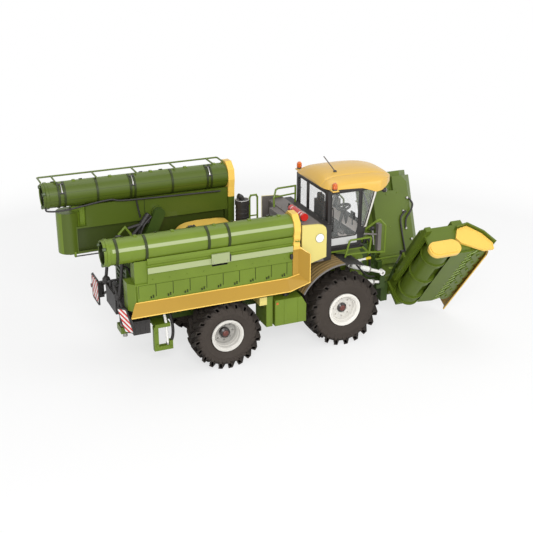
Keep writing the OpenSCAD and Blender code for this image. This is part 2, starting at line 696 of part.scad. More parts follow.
chassis_frame();
frame_cross();
front_axle();
rear_axle();
knuckle_left();
knuckle_right();
tyre_front_left();
tyre_front_right();
tyre_rear_left();
tyre_rear_right();
rim_front_left();
rim_front_right();
rim_rear_left();
rim_rear_right();
cab_mount();
cab_shell();
cab_glass();
cab_roof();
cab_interior();
beacons();
mirrors();
engine_body();
hood_top();
cooler_housing();
side_panels();
fenders();
tanks();
rails();
muffler();
extinguisher();
rear_hitch();
board_brackets();
warning_boards();
rear_lamps();
front_lift_frame();
lift_cylinders();
arm_left();
arm_right();
shaft_left();
shaft_right();
side_tube_left();
side_tube_right();
tube_bands_left();
tube_bands_right();
side_deck_left();
side_deck_right();
side_skirt_left();
side_skirt_right();
side_rail_left();
front_deck_left();
front_deck_right();
front_bar_left();
front_bar_right();
front_drums_left();
front_drums_right();
front_skirt_left();
front_skirt_right();
front_cover_left();
front_cover_right();
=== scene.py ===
"""Looks of a toy self-propelled mower, laid out as an add-on and run as a script."""

import math

import bpy
import numpy as np
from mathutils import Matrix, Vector


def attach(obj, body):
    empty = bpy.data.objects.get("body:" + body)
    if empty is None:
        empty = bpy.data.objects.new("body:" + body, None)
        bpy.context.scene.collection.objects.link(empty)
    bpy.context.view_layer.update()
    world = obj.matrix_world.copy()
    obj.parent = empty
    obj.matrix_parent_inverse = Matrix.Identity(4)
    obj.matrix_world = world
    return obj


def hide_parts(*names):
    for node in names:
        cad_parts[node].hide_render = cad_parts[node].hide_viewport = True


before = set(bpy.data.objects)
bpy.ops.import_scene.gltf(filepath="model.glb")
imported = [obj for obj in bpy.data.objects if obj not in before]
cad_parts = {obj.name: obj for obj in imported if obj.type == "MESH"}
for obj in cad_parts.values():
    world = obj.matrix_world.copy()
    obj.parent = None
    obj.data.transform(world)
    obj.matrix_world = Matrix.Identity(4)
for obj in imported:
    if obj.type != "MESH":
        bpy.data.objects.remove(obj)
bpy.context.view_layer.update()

bl_info = {
    "name": "Toy mower looks",
    "version": (1, 0, 0),
    "blender": (4, 5, 0),
    "location": "View3D > Sidebar > Toy mower",
    "description": "Paint, trim and studio for a toy self-propelled mower",
    "category": "Object",
}

MM = 0.001
SIDES = (("left", 1), ("right", -1))
SIGN = dict(SIDES)
AHEAD, LEFT, UP = np.eye(3)
# Shift of each side mower in x and z, in m, then the rest angles of the front mowers and of the arms
LIFT = {"left": (-0.02705, 0.02594), "right": (0.0, 0.0)}
FOLD = {"left": 70.0, "right": 52.4}
ARM = {"left": 64.4, "right": 28.0}
# In mm: an arm's pivot, a front mower's pin in y and z, the axis of a side mower's tube outwards and in z
ARM_PIVOT = np.array((-106.0, 20.5, 54.0))
PIN_Y, PIN_Z = 12.0, 25.0
TUBE_Y, TUBE_Z = 33.0, 103.0
# Axles in x and z, in mm, and how far the windscreen leans forward for each step up
AXLE = {"front": (50.0, 30.1), "rear": (-50.0, 27.0)}
SCREEN_SLOPE = 0.2931


# Meshes from arrays


def grid_faces(nu, nv, wrap_u=False, wrap_v=False):
    """Quads of a grid of nu by nv points, closed round u or v where asked."""
    u = np.arange(nu if wrap_u else nu - 1)[:, None]
    v = np.arange(nv if wrap_v else nv - 1)[None, :]
    u1, v1 = (u + 1) % nu, (v + 1) % nv
    return np.stack([u * nv + v, u1 * nv + v, u1 * nv + v1, u * nv + v1], -1).reshape(-1, 4)


def outward(verts, faces):
    """Turns all the faces round where the volume that they enclose comes out negative."""
    fans = np.array([[f[0], f[i], f[i + 1]] for f in faces for i in range(1, len(f) - 1)])
    a, b, c = (verts[fans[:, i]] for i in range(3))
    return verts, ([f[::-1] for f in faces] if np.einsum("ij,ij->", a, np.cross(b, c)) < 0 else faces)


def skinned(rings):
    """A solid over a row of closed rings of points: quads between each two rings, and a flat face at either end."""
    m, n = rings.shape[:2]
    faces = grid_faces(m, n, wrap_v=True).tolist()
    faces += [list(range(n))[::-1], list(range((m - 1) * n, m * n))]
    return outward(rings.reshape(-1, 3), faces)


def tube(path, radius, sides=12):
    """A round tube: circles of the given radius stand square to the path at each of its points, with flat ends."""
    p = np.asarray(path, float)
    t = np.gradient(p, axis=0)
    t /= np.linalg.norm(t, axis=1, keepdims=True)
    n = np.cross(t, np.eye(3)[np.argmin(np.abs(t).max(0))])
    n /= np.linalg.norm(n, axis=1, keepdims=True)
    b = np.cross(t, n)
    a = np.linspace(0, 2 * np.pi, sides, endpoint=False)
    r = np.broadcast_to(np.asarray(radius, float), len(p))[:, None, None]
    circle = np.cos(a)[None, :, None] * n[:, None] + np.sin(a)[None, :, None] * b[:, None]
    return skinned(p[:, None] + r * circle)


def rounded(points, radius, steps=5, closed=False):
    """A path with round corners: each is a quadratic curve between two points at the given distance from it."""
    p = np.asarray(points, float)
    if closed:
        p = np.vstack([(p[0] + p[-1]) / 2, p, (p[0] + p[-1]) / 2])
    t = np.linspace(0, 1, steps)[:, None]
    out = [p[:1]]
    for a, b, c in zip(p[:-2], p[1:-1], p[2:]):
        start, end = (b + (e - b) * min(radius / np.linalg.norm(e - b), 0.45) for e in (a, c))
        out.append((1 - t) ** 2 * start + 2 * t * (1 - t) * b + t**2 * end)
    return np.concatenate([*out, p[-1:]])


def smooth_path(points, count=40):
    """A curve through the points: a Catmull-Rom spline sampled at even steps."""
    p = np.asarray(points, float)
    p = np.vstack([2 * p[0] - p[1], p, 2 * p[-1] - p[-2]])
    s = np.linspace(0, len(p) - 3 - 1e-9, count)
    i = s.astype(int)
    f = (s - i)[:, None]
    a, b, c, d = p[i], p[i + 1], p[i + 2], p[i + 3]
    return 0.5 * (2 * b + (c - a) * f + (2 * a - 5 * b + 4 * c - d) * f**2 + (3 * b - a - 3 * c + d) * f**3)


def revolve(profile, sides=32):
    """A profile of (radius, height) pairs turned about the z axis, with flat ends."""
    r, h = np.asarray(profile, float).T[..., None]
    a = np.linspace(0, 2 * np.pi, sides, endpoint=False)
    return skinned(np.stack([r * np.cos(a), r * np.sin(a), np.broadcast_to(h, (len(h), sides))], -1))


def hoop(section, sides=48):
    """A closed section of (radius, height) pairs turned about the z axis."""
    r, h = np.asarray(section, float).T
    a = np.linspace(0, 2 * np.pi, sides, endpoint=False)[:, None]
    verts = np.stack([r * np.cos(a), r * np.sin(a), np.broadcast_to(h, (sides, len(h)))], -1)
    return outward(verts.reshape(-1, 3), grid_faces(sides, len(h), True, True).tolist())


def torus(radius, thick, sides=48, around=10):
    """A ring about the z axis whose section is a circle."""
    b = np.linspace(0, 2 * np.pi, around, endpoint=False)
    return hoop(np.stack([radius + thick * np.cos(b), thick * np.sin(b)], -1), sides)


def bolt(radius, height, sides=6):
    """A bolt's head: a prism with its top edge cut back."""
    return revolve([(radius, 0), (radius, height * 0.7), (radius * 0.78, height)], sides)


def block(low, high, bevel=0.0):
    """A box whose edges are cut back by the bevel: each of three rings of corners is drawn in along one axis."""
    low, high = np.asarray(low, float), np.asarray(high, float)
    c, h = (low + high) / 2, (high - low) / 2
    b = min(bevel, *(h * 0.45))
    signs = np.stack(np.meshgrid([-1, 1], [-1, 1], [-1, 1], indexing="ij"), -1).reshape(-1, 3)
    quads = [[0, 1, 3, 2], [4, 6, 7, 5], [0, 4, 5, 1], [2, 3, 7, 6], [0, 2, 6, 4], [1, 5, 7, 3]]
    if b <= 0:
        return outward(c + signs * h, quads)
    verts = np.concatenate([c + signs * (h - b * (1 - np.eye(3)[k])) for k in range(3)])
    faces = [[8 * (i // 2) + v for v in q] for i, q in enumerate(quads)]
    bit = [4, 2, 1]
    for axis in range(3):
        j, k = (axis + 1) % 3, (axis + 2) % 3
        for s in range(4):
            v0 = (bit[j] if s & 1 else 0) + (bit[k] if s & 2 else 0)
            v1 = v0 + bit[axis]
            q = [8 * j + v0, 8 * j + v1, 8 * k + v1, 8 * k + v0]
            faces.append(q if s in (1, 2) else q[::-1])
    for v in range(8):
        t = [v, 8 + v, 16 + v]
        faces.append(t if np.prod(signs[v]) > 0 else t[::-1])
    return outward(verts, faces)


def turned(part, origin, axis=UP):
    """A part made about z, set so that its z axis runs along the given axis from the origin."""
    w = np.asarray(axis, float)
    w = w / np.linalg.norm(w)
    u = np.cross(np.eye(3)[np.argmin(np.abs(w))], w)
    u /= np.linalg.norm(u)
    m = np.stack([u, np.cross(w, u), w])
    return part[0] @ m + np.asarray(origin, float), part[1]


def stud(radius, height, place, axis=UP, sides=6):
    """A bolt's head that stands at a place along an axis."""
    return turned(bolt(radius, height, sides), place, axis)


def lathe(profile, place, axis=UP, sides=24):
    """A turned profile that stands at a place along an axis."""
    return turned(revolve(profile, sides), place, axis)


def ring(radius, thick, place, axis=UP, sides=48, around=10):
    """A round ring about an axis through a place."""
    return turned(torus(radius, thick, sides, around), place, axis)


def cord(points, radius, count=40):
    """A round tube along a smooth curve through the points."""
    return tube(smooth_path(points, count), radius)


def bent(points, corner, radius, sides=8, closed=False):
    """A round tube along straight lines with round corners."""
    return tube(rounded(points, corner, closed=closed), radius, sides)


def joined(parts):
    """Several parts as one: their points in a row, and their faces counted on."""
    verts, faces, n = [], [], 0
    for v, f in parts:
        verts.append(v)
        faces += [[i + n for i in q] for q in f]
        n += len(v)
    return np.concatenate(verts), faces


def arched(section, angles, centre):
    """A closed section of (radius, y) pairs carried round an axis along y.

    The angles, in degrees, count from the x axis, and both ends are flat.
    """
    r, y = np.asarray(section, float).T
    a = np.radians(angles)[:, None]
    x, z = centre[0] + r * np.cos(a), centre[1] + r * np.sin(a)
    return skinned(np.stack([x, np.broadcast_to(y, x.shape), z], -1))


def mirrored(part):
    """A part on the other side: y changes its sign, and each face turns round."""
    return part[0] * (1, -1, 1), [f[::-1] for f in part[1]]


def on_side(part, k):
    """A part made on the left, or its mirror image on the right."""
    return part if k > 0 else mirrored(part)


def on_unit(part, side):
    """A part of a side mower, given in x, outwards and z as the folded right one lies."""
    dx, dz = LIFT[side]
    return (part[0] + (dx / MM, 0, dz / MM), part[1]) if side == "left" else mirrored(part)


def on_front(part, side):
    """A part of a front mower, given in x, along it from its pin and off its face, turned by its fold angle."""
    a = math.radians(FOLD[side])
    x, u, w = part[0].T
    y, z = PIN_Y + u * math.cos(a) - w * math.sin(a), PIN_Z + u * math.sin(a) + w * math.cos(a)
    return on_side((np.stack([x, y, z], -1), part[1]), SIGN[side])


def on_arm(part, side):
    """A part of a lifting arm, given along it, outwards and above it, turned by its angle."""
    a = math.radians(ARM[side])
    along, out, up = part[0].T
    x, z = along * math.cos(a) - up * math.sin(a), along * math.sin(a) + up * math.cos(a)
    return on_side((np.stack([x, out, z], -1) + ARM_PIVOT, part[1]), SIGN[side])


class Kit:
    """Gathers parts by body and finish, and puts each group into the scene as one piece."""

    def __init__(self, name):
        self.name, self.groups = name, {}

    def add(self, body, finish, *parts):
        """Adds parts to the group of a body and a finish."""
        self.groups.setdefault((body, finish), []).extend(parts)

    def fit(self, finish, *parts):
        """Adds parts to the chassis."""
        self.add("chassis", finish, *parts)

    def pair(self, finish, *parts):
        """Adds parts of the left side to the chassis, and their mirror images on the right."""
        self.fit(finish, *parts, *map(mirrored, parts))

    def at(self, body, setting, side):
        """A function that adds parts to one body, each put in its place by the setting for that side."""
        return lambda finish, *parts: self.add(body, finish, *(setting(p, side) for p in parts))

    def place(self):
        for (body, finish), parts in self.groups.items():
            piece(f"{self.name}_{body}_{finish}", joined(parts), body, FINISH[finish].mat)


def piece(name, part, body, material, smooth=40):
    """Puts a part, given in mm, into the scene as a piece that rides on a body, smooth below the given angle."""
    mesh = bpy.data.meshes.new(name)
    mesh.from_pydata((np.asarray(part[0]) * MM).tolist(), [], [list(map(int, f)) for f in part[1]])
    mesh.validate()
    mesh.update()
    mesh.shade_smooth()
    mesh.set_sharp_from_angle(angle=math.radians(smooth))
    obj = bpy.data.objects.new(name, mesh)
    bpy.context.scene.collection.objects.link(obj)
    mesh.materials.append(material)
    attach(obj, body)
    return obj


# Shader expressions


def math_node(operation, turn=False):
    """An operator that adds a Math node to the socket's tree, with the operands turned round where asked."""

    def operator(self, *others):
        operands = (*others, self) if turn else (self, *others)
        return self.tree.node("ShaderNodeMath", {"operation": operation}, dict(enumerate(operands)))

    return operator


class Sock:
    """A socket that can be written in sums: each operator adds a node to its tree."""

    __add__ = __radd__ = math_node("ADD")
    __sub__, __rsub__ = math_node("SUBTRACT"), math_node("SUBTRACT", True)
    __mul__ = __rmul__ = math_node("MULTIPLY")
    __truediv__, __mod__ = math_node("DIVIDE"), math_node("FLOORED_MODULO")
    __abs__, sqrt, max = math_node("ABSOLUTE"), math_node("SQRT"), math_node("MAXIMUM")

    def __init__(self, tree, out):
        self.tree, self.out = tree, out

    def above(self, edge, soft=0.0002):
        """0 below the edge and 1 above it, with a soft step."""
        inputs = {"Value": self, "From Min": edge - soft, "From Max": edge + soft}
        return self.tree.node("ShaderNodeMapRange", {"interpolation_type": "SMOOTHSTEP"}, inputs)

    def within(self, low, high, soft=0.0002):
        """1 between two edges."""
        return self.above(low, soft) * (1 - self.above(high, soft))


class Tree:
    """The nodes of a shader, added and linked by their sockets."""

    def __init__(self, node_tree):
        self.nodes, self.links = node_tree.nodes, node_tree.links

    def node(self, kind, settings, inputs, out=0):
        """A node of a kind: its settings first, then the values or links of its sockets."""
        n = self.nodes.new(kind)
        for key, value in settings.items():
            setattr(n, key, value)
        for key, value in inputs.items():
            self.plug(n.inputs[key], value)
        return Sock(self, n.outputs[out])

    def plug(self, socket, value):
        """Links a socket or sets its value, with a full alpha after the three numbers of a colour."""
        if isinstance(value, Sock):
            self.links.new(value.out, socket)
        else:
            socket.default_value = (*value, 1) if socket.type == "RGBA" else value


class Finish(Tree):
    """A material with one principled shader."""

    def __init__(self, name, **sockets):
        self.mat = bpy.data.materials.new(name)
        self.mat.use_nodes = True
        super().__init__(self.mat.node_tree)
        self.shader = self.nodes["Principled BSDF"]
        self.set(**sockets)
        self.place = self.node("ShaderNodeTexCoord", {}, {}, "Object")
        self.x, self.y, self.z = (self.node("ShaderNodeSeparateXYZ", {}, {0: self.place}, a) for a in "XYZ")

    def set(self, **sockets):
        """Values or links of the shader's sockets, with _ for a space."""
        for key, value in sockets.items():
            self.plug(self.shader.inputs[key.replace("_", " ")], value)

    def noise(self, scale, detail=3.0):
        """Soft noise over the object's own place."""
        inputs = {"Vector": self.place, "Scale": scale, "Detail": detail, "Roughness": 0.55}
        return self.node("ShaderNodeTexNoise", {}, inputs)

    def cells(self, scale, spread=1.0):
        """Distance from the middles of cells, even where the spread is 0."""
        inputs = {"Vector": self.place, "Scale": scale, "Randomness": spread}
        return self.node("ShaderNodeTexVoronoi", {}, inputs, "Distance")

    def mix(self, factor, a, b):
        """Colour a turning to colour b as the factor rises."""
        return self.node("ShaderNodeMix", {"data_type": "RGBA"}, {0: factor, 6: a, 7: b}, 2)

    def bump(self, height, strength, distance):
        """A normal tilted by the slope of a height."""
        inputs = {"Height": height, "Strength": strength, "Distance": distance}
        return self.node("ShaderNodeBump", {}, inputs, "Normal")


def linear(colour):
    """An sRGB colour from 0 to 255 as linear numbers."""
    c = np.asarray(colour, float) / 255
    return tuple(np.where(c <= 0.04045, c / 12.92, ((c + 0.055) / 1.055) ** 2.4).tolist())


def toned(colour, k):
    """A colour times a factor, or times one factor for each of its three numbers."""
    return tuple(float(v * f) for v, f in zip(colour, np.broadcast_to(k, 3)))


# Settings that a user may change


def colour_prop(name, text, value):
    """A colour setting whose default is an sRGB colour from 0 to 255."""
    return bpy.props.FloatVectorProperty(
        name=name, description=text, subtype="COLOR", size=3, min=0, max=1, default=linear(value)
    )


class MowerColours(bpy.types.PropertyGroup):
    """Colours of the toy's paints and plastics."""

    green: colour_prop("Green", "Paint of the frame and the mowers", (97, 117, 30))
    # Dark green also serves as painted shade on the lifting arms.
    dark_green: colour_prop("Dark green", "Engine body and inner panels", (48, 66, 18))
    pale_green: colour_prop("Pale green", "Strips along the side mowers", (152, 162, 118))
    yellow: colour_prop("Yellow", "Roof, hood and panels", (226, 186, 86))
    # Skirt yellow is the yellow darkened as painted shade on the skirts.
    skirt: colour_prop("Skirt yellow", "Skirts of the mowers", (164, 128, 42))
    black: colour_prop("Black", "Cab frame, shafts and hoses", (36, 33, 32))
    grey: colour_prop("Grey", "Platform and mirrors", (98, 93, 90))
    fender: colour_prop("Fender", "Plastic over the front wheels", (128, 106, 66))
    rubber: colour_prop("Rubber", "Tyres", (40, 35, 31))
    silver: colour_prop("Silver", "Rims", (217, 214, 207))
    red: colour_prop("Red", "Extinguisher, lamps and board stripes", (196, 36, 28))
    orange: colour_prop("Orange", "Beacons", (214, 96, 16))


class MowerSizes(bpy.types.PropertyGroup):
    """Sizes of the trim in metres, and the camera's focal length in millimetres."""

    hose: bpy.props.FloatProperty(
        name="Hose radius", description="Radius of the thin hoses",
        subtype="DISTANCE", default=0.0007, min=0.0004, max=0.001,
    )  # fmt: skip
    bolt: bpy.props.FloatProperty(
        name="Bolt radius", description="Radius of a wheel bolt",
        subtype="DISTANCE", default=0.00062, min=0.0004, max=0.0008,
    )  # fmt: skip
    lens: bpy.props.FloatProperty(
        name="Lens", description="Focal length of the studio camera",
        subtype="DISTANCE_CAMERA", default=66.07, min=30, max=120,
    )  # fmt: skip


# Finishes

FINISH = {}


def coat(name, colour, rough=0.42, shade=0.16, peel=0.1, clear=0.14):
    """Sprayed paint: slow clouds of tone, fine specks and a faint orange peel under a thin clear coat."""
    f = Finish(name, Coat_Roughness=0.12, Specular_IOR_Level=0.3)
    cloud = f.noise(38, 2)
    speck = f.noise(1600, 2)
    tone = f.mix(cloud, toned(colour, 1 - shade), toned(colour, 1 + shade))
    f.base = f.mix(speck.above(0.66, 0.06) * 0.25, tone, toned(colour, 1.35))
    f.set(Base_Color=f.base, Roughness=rough - 0.06 + cloud * 0.12, Coat_Weight=clear)
    f.set(Normal=f.bump(speck, peel, 0.00005))
    return f


def paint_with(f, *layers):
    """Lays colours over the finish's base, each through its mask."""
    for mask, colour in layers:
        f.base = f.mix(mask, f.base, colour)
    f.set(Base_Color=f.base)
    return f


def moulded(name, colour, rough=0.5, grain=900, bump=0.25):
    """Moulded plastic: a fine grain in the surface and a little wear in the tone."""
    f = Finish(name)
    cloud = f.noise(60)
    f.base = f.mix(cloud, toned(colour, 0.78), toned(colour, 1.22))
    f.set(Base_Color=f.base, Roughness=rough - 0.08 + cloud * 0.16, Normal=f.bump(f.cells(grain), bump, 0.0001))
    return f


def length(a, b):
    """Length of the way along two axes at right angles."""
    return (a * a + b * b).sqrt()


def from_axle(f, end):
    """Distance from the axle at one end."""
    x, z = AXLE[end]
    return length(f.x - x * MM, f.z - z * MM)


def make_finishes(c):
    """All the toy's finishes, by name."""
    keys = ("green", "pale_green", "yellow", "skirt", "black", "grey", "red", "silver", "rubber")
    green, pale, yellow, skirt, black, grey, red, silver, tyre = (tuple(getattr(c, key)) for key in keys)
    FINISH.update(
        {
            "green": coat("green_paint", green),
            "dark_green": coat("dark_green_paint", tuple(c.dark_green), 0.45),
            "rod_yellow": coat("rod_paint", (0.62, 0.5, 0.03), 0.35, 0.05),
            "front_green": coat("front_paint", toned(green, 0.7)),
            "lining": moulded("cab_lining", (0.82, 0.75, 0.71), 0.6),
            "band": coat("band_paint", toned(green, 0.16), 0.5),
            "yellow": coat("yellow_paint", yellow, 0.36, 0.05, 0.06, 0.35),
            "roof": coat("roof_paint", toned(yellow, (0.85, 0.81, 0.8)), 0.36, 0.04, 0.06, 0.3),
            "panel": side_panel_paint("panel_paint", toned(yellow, (0.8, 1.06, 1.7)), grey),
            "black": moulded("black_plastic", black),
            "hose": moulded("hose_rubber", toned(black, 0.8), 0.55, 2400, 0.15),
            "grey": moulded("grey_plastic", grey),
            "red": coat("red_paint", red, 0.3, 0.06, 0.05, 0.5),
            "lens_red": lens("red_lens", red),
            "lens_orange": lens("orange_lens", tuple(c.orange)),
            "steel": bare_metal("steel", (0.42, 0.41, 0.39), 0.34),
            "white": coat("white_paint", (0.8, 0.79, 0.76), 0.4, 0.05),
            "glass": pane("cab_pane"),
            "board": striped_board("board_stripes", red),
            "fender": ribbed_fender("fender_plastic", tuple(c.fender), toned(black, 0.7)),
            "housing": tread_plate("platform_plastic", grey, black),
            "cab": cab_frame_finish("cab_frame_plastic", black),
            "cab_base": cab_base_paint("cab_base_paint", green, black),
            # The last number of each rim is the painted shade in its well.
            "rim_front": rim_paint("rim_paint_front", silver, "front", 0.0098, 0.85),
            "rim_rear": rim_paint("rim_paint_rear", toned(silver, 0.8), "rear", 0.0092, 0.66),
        }
    )
    for s, _ in SIDES:
        FINISH["tube_" + s] = tube_paint("tube_paint_" + s, green, pale, s)
        FINISH["deck_" + s] = deck_paint("deck_paint_" + s, green, pale, black, s)
        FINISH["skirt_" + s] = skirt_paint("skirt_paint_" + s, skirt, yellow, toned(green, 0.5), s)
        FINISH["guard_" + s] = guard_paint("guard_paint_" + s, skirt, yellow, s)
        FINISH["drums_" + s] = drum_paint("drum_paint_" + s, toned(green, 0.66), s)
    for end in AXLE:
        FINISH["tyre_" + end] = rubber("rubber_" + end, tyre, end)


def lens(name, colour):
    """Clear coloured plastic with slow clouds of tone and moulded rings, one above the other."""
    f = Finish(name, Coat_Weight=0.6, Roughness=0.15, Subsurface_Weight=0.2)
    cloud = f.noise(300, 1)
    f.base = f.mix(cloud, toned(colour, 0.7), toned(colour, 1.15))
    f.set(Base_Color=f.base, Normal=f.bump(f.z * 4200 % 1.0, 0.2, 0.0002))
    return f


def bare_metal(name, colour, rough):
    """Drawn metal: fine streaks in tone and gloss."""
    f = Finish(name, Metallic=1.0)
    streak = f.noise(900, 2)
    f.base = f.mix(streak, toned(colour, 0.85), toned(colour, 1.12))
    f.set(Base_Color=f.base, Roughness=rough - 0.06 + streak * 0.14)
    return f


def pane(name):
    """A thin clear pane with a faint grey tint."""
    f = Finish(name, Roughness=0.04, Specular_IOR_Level=0.6)
    dust = f.noise(45)
    f.set(Base_Color=f.mix(dust, (0.55, 0.58, 0.57), (0.68, 0.7, 0.68)), Alpha=0.05 + dust * 0.07)
    return f


def striped_board(name, red):
    """White board with slanting red bars."""
    f = moulded(name, (0.78, 0.77, 0.74), 0.35, 1500, 0.05)
    slant = (abs(f.y) + f.z * 0.9) * 190 % 1.0
    return paint_with(f, (slant.above(0.5, 0.03), red))


def ribbed_fender(name, colour, black):
    """Plastic with a fine grain, painted shade in the grooves between its ribs, and black on the flap at the front.
    """
    f = moulded(name, colour, 0.5, 700, 0.12)
    # Painted shade in the grooves between the ribs.
    groove_shade = abs((abs(f.y) - 0.025) * 272.7 % 1.0 - 0.5) * 2
    return paint_with(f, (groove_shade.above(0.7, 0.2) * 0.6, toned(colour, 0.5)), (f.x.above(0.0478), black))


def tread_plate(name, colour, black):
    """Grey plastic with small raised studs on its top, and black where it meets the cab."""
    f = moulded(name, colour, 0.55)
    top = f.z.above(0.0995)
    f.set(Normal=f.bump((1 - f.cells(520.0, 0.0).above(0.3, 0.1)) * top, 0.5, 0.0005))
    return paint_with(f, (top * 0.45, toned(colour, 1.7)), (f.x.above(0.0335), toned(black, 0.7)))


def side_panel_paint(name, colour, grey):
    """Pale yellow panel, grey on its inner side."""
    f = coat(name, colour, 0.36, 0.05, 0.06, 0.3)
    return paint_with(f, ((1 - abs(f.y).above(0.0385, 0.0001)) * f.z.above(0.06), grey))


def cab_frame_finish(name, black):
    """Black frame, with a light grey lower panel in each door and pale pillars beside the windscreen."""
    f = moulded(name, black, 0.42, 900, 0.15)
    door = f.z.within(0.0795, 0.0862) * f.x.within(0.0432, 0.0672) * abs(f.y).above(0.0288)
    slope = f.x - f.z * SCREEN_SLOPE
    pillar = slope.within(0.0456, 0.0484) * f.z.within(0.0915, 0.1215) * abs(f.y).above(0.0272)
    return paint_with(f, (door, (0.5, 0.5, 0.49)), (pillar, (0.62, 0.6, 0.54)))


def cab_base_paint(name, green, black):
    """Green base under the cab with a black sill along its top edge."""
    f = coat(name, green)
    return paint_with(f, (f.z.above(0.0752) * abs(f.y).above(0.0205), toned(black, 0.8)))


def tube_paint(name, green, pale, side):
    """Green tube with a pale strip along its outer side, painted shade on its inner side and along two folds there,
    and painted shade inside the tube.
    """
    f = coat(name, green)
    dx, dz = LIFT[side]
    out, z = f.y * SIGN[side] - TUBE_Y * MM, f.z - dz - TUBE_Z * MM
    strip = z.within(0.0023, 0.0047) * out.above(0.003) * (f.x - dx).above(-0.1335)
    # Painted shade: the inner side is darkened, and two thin folds on it are darker still.
    inner = 1 - out.above(-0.0015, 0.004)
    fold_shade = z.within(-0.0026, -0.0022) + z.within(0.0032, 0.0035)
    return paint_with(
        f,
        (inner, toned(green, 0.52)),
        (fold_shade * inner * 0.7, toned(green, 0.22)),
        (strip, pale),
        # Painted shade inside the tube, within the radius of its wall.
        (1 - length(out, z).above(0.0084, 0.0001), toned(green, 0.1)),
    )


def deck_paint(name, green, pale, black, side):
    """Green deck: outside a pale strip, a plate with painted shade in the slot below it, painted shade along the
    seam lines, and dark hooks; painted shade on the inner side, deeper in the recess low on it.
    """
    f = coat(name, green)
    dx, dz = LIFT[side]
    x, z, out = f.x - dx, f.z - dz, f.y * SIGN[side]
    strip = z.within(0.0855, 0.09) * out.above(0.0416)
    plate = x.within(-0.0606, -0.0464) * z.within(0.0857, 0.0937) * out.above(0.0423)
    # Painted shade in the slot under the plate.
    slot = x.within(-0.0597, -0.0473) * z.within(0.0832, 0.0859) * out.within(0.039, 0.0422)
    pitch = (x + 0.1033) / 0.013 % 1.0
    # Painted shade along the seam grooves between the flaps.
    seam_shade = pitch.within(-0.01, 0.05, 0.008) * z.within(0.067, 0.0767) * out.within(0.0402, 0.0412)
    hooks = z.within(0.0655, 0.0687) * out.above(0.0412) * (1 - out.above(0.042))
    # Painted shade on the inner side, and deeper painted shade in the recess low on it.
    inner = 1 - out.above(0.0265)
    hollow_shade = z.within(0.0583, 0.0767) * (1 - out.above(0.0284)) * x.above(-0.1162)
    return paint_with(
        f,
        (inner, toned(green, 0.5)),
        (hollow_shade, toned(green, 0.24)),
        (seam_shade * 0.8, toned(green, 0.3)),
        (hooks, toned(green, 0.12)),
        (strip, pale),
        (plate, toned(pale, 0.92)),
        (slot, toned(black, 0.35)),
    )


def skirt_paint(name, skirt, yellow, green, side):
    """Skirt in mustard, which is the yellow darkened as painted shade, with a pale end plate that is green at its
    foot on the inner side.
    """
    # Painted shade: the skirt's mustard stands for the yellow in shade.
    f = coat(name, skirt, 0.42, 0.07)
    dx, dz = LIFT[side]
    end, high = (f.x - dx).above(0.0052), (f.z - dz).above(0.0868)
    foot = end * (1 - high) * (1 - (f.y * SIGN[side]).above(0.0395))
    return paint_with(f, (end * high, yellow), (foot, green))


def guard_paint(name, skirt, yellow, side):
    """Front skirt in brown, the skirt colour darkened further as painted shade, with a pale end plate, told apart
    by the distance along the mower from its hinge.
    """
    # Painted shade: the brown is the skirt colour at seven tenths.
    f = coat(name, toned(skirt, 0.7), 0.45, 0.1)
    a = math.radians(FOLD[side])
    along = (f.y * SIGN[side] - PIN_Y * MM) * math.cos(a) + (f.z - PIN_Z * MM) * math.sin(a)
    return paint_with(f, (along.above(0.0855), yellow))


def drum_paint(name, green, side):
    """Green drum with painted shade in its windows: the colour changes below a set distance from the drum's own
    axis.
    """
    f = coat(name, green)
    a = math.radians(FOLD[side])
    out, up = f.y * SIGN[side] - PIN_Y * MM, f.z - PIN_Z * MM
    off = up * math.cos(a) - out * math.sin(a) + 0.011
    # Painted shade in the recessed windows.
    return paint_with(f, (1 - length(off, f.x - 0.118).above(0.0076, 0.0001), toned(green, 0.2)))


def rim_paint(name, colour, end, reach, depth):
    """Silver paint with painted shade in the dished well inside the lip, a dark hub and a dark red cap."""
    f = coat(name, colour, 0.36, 0.05, 0.05, 0.3)
    r = from_axle(f, end)
    hub = 1 - r.above(0.0041, 0.0001)
    cap = 1 - r.above(0.0024, 0.0001)
    # Painted shade in the well: darker by the depth factor.
    well_shade = 1 - r.above(reach, 0.0003)
    return paint_with(f, (well_shade, toned(colour, depth)), (hub, (0.03, 0.026, 0.025)), (cap, (0.11, 0.03, 0.022)))


def rubber(name, colour, end):
    """Tyre rubber: paler side walls with fine mould lines, and dust in patches."""
    f = moulded(name, colour, 0.68, 1300, 0.2)
    f.set(Specular_IOR_Level=0.25)
    r = from_axle(f, end)
    wall = 1 - r.above(AXLE[end][1] * MM * 0.86, 0.0012)
    lines = (r * 1500 % 1.0).within(0.4, 0.6, 0.08)
    dust = f.noise(120, 4)
    f.set(Normal=f.bump(lines + f.noise(1800, 2), 0.25, 0.00012), Roughness=0.6 + dust * 0.25)
    return paint_with(f, (wall, toned(colour, 1.9)), (dust.above(0.55, 0.2) * 0.3, toned(colour, 1.6)))


# Finish of each node that stands alone
NODE_FINISH = {
    "chassis_frame": "dark_green", "frame_cross": "dark_green", "front_axle": "black", "rear_axle": "black",
    "cab_mount": "cab_base", "cab_shell": "cab", "cab_glass": "glass", "cab_roof": "roof", "cab_interior": "black",
    "beacons": "lens_orange", "mirrors": "grey", "engine_body": "dark_green", "hood_top": "yellow",
    "cooler_housing": "housing", "side_panels": "panel", "fenders": "fender", "tanks": "green", "rails": "green",
    "muffler": "black", "extinguisher": "red", "rear_hitch": "green", "board_brackets": "black",
    "warning_boards": "board", "rear_lamps": "lens_red", "front_lift_frame": "dark_green",
    "lift_cylinders": "white", "side_rail_left": "front_green",
}  # fmt: skip
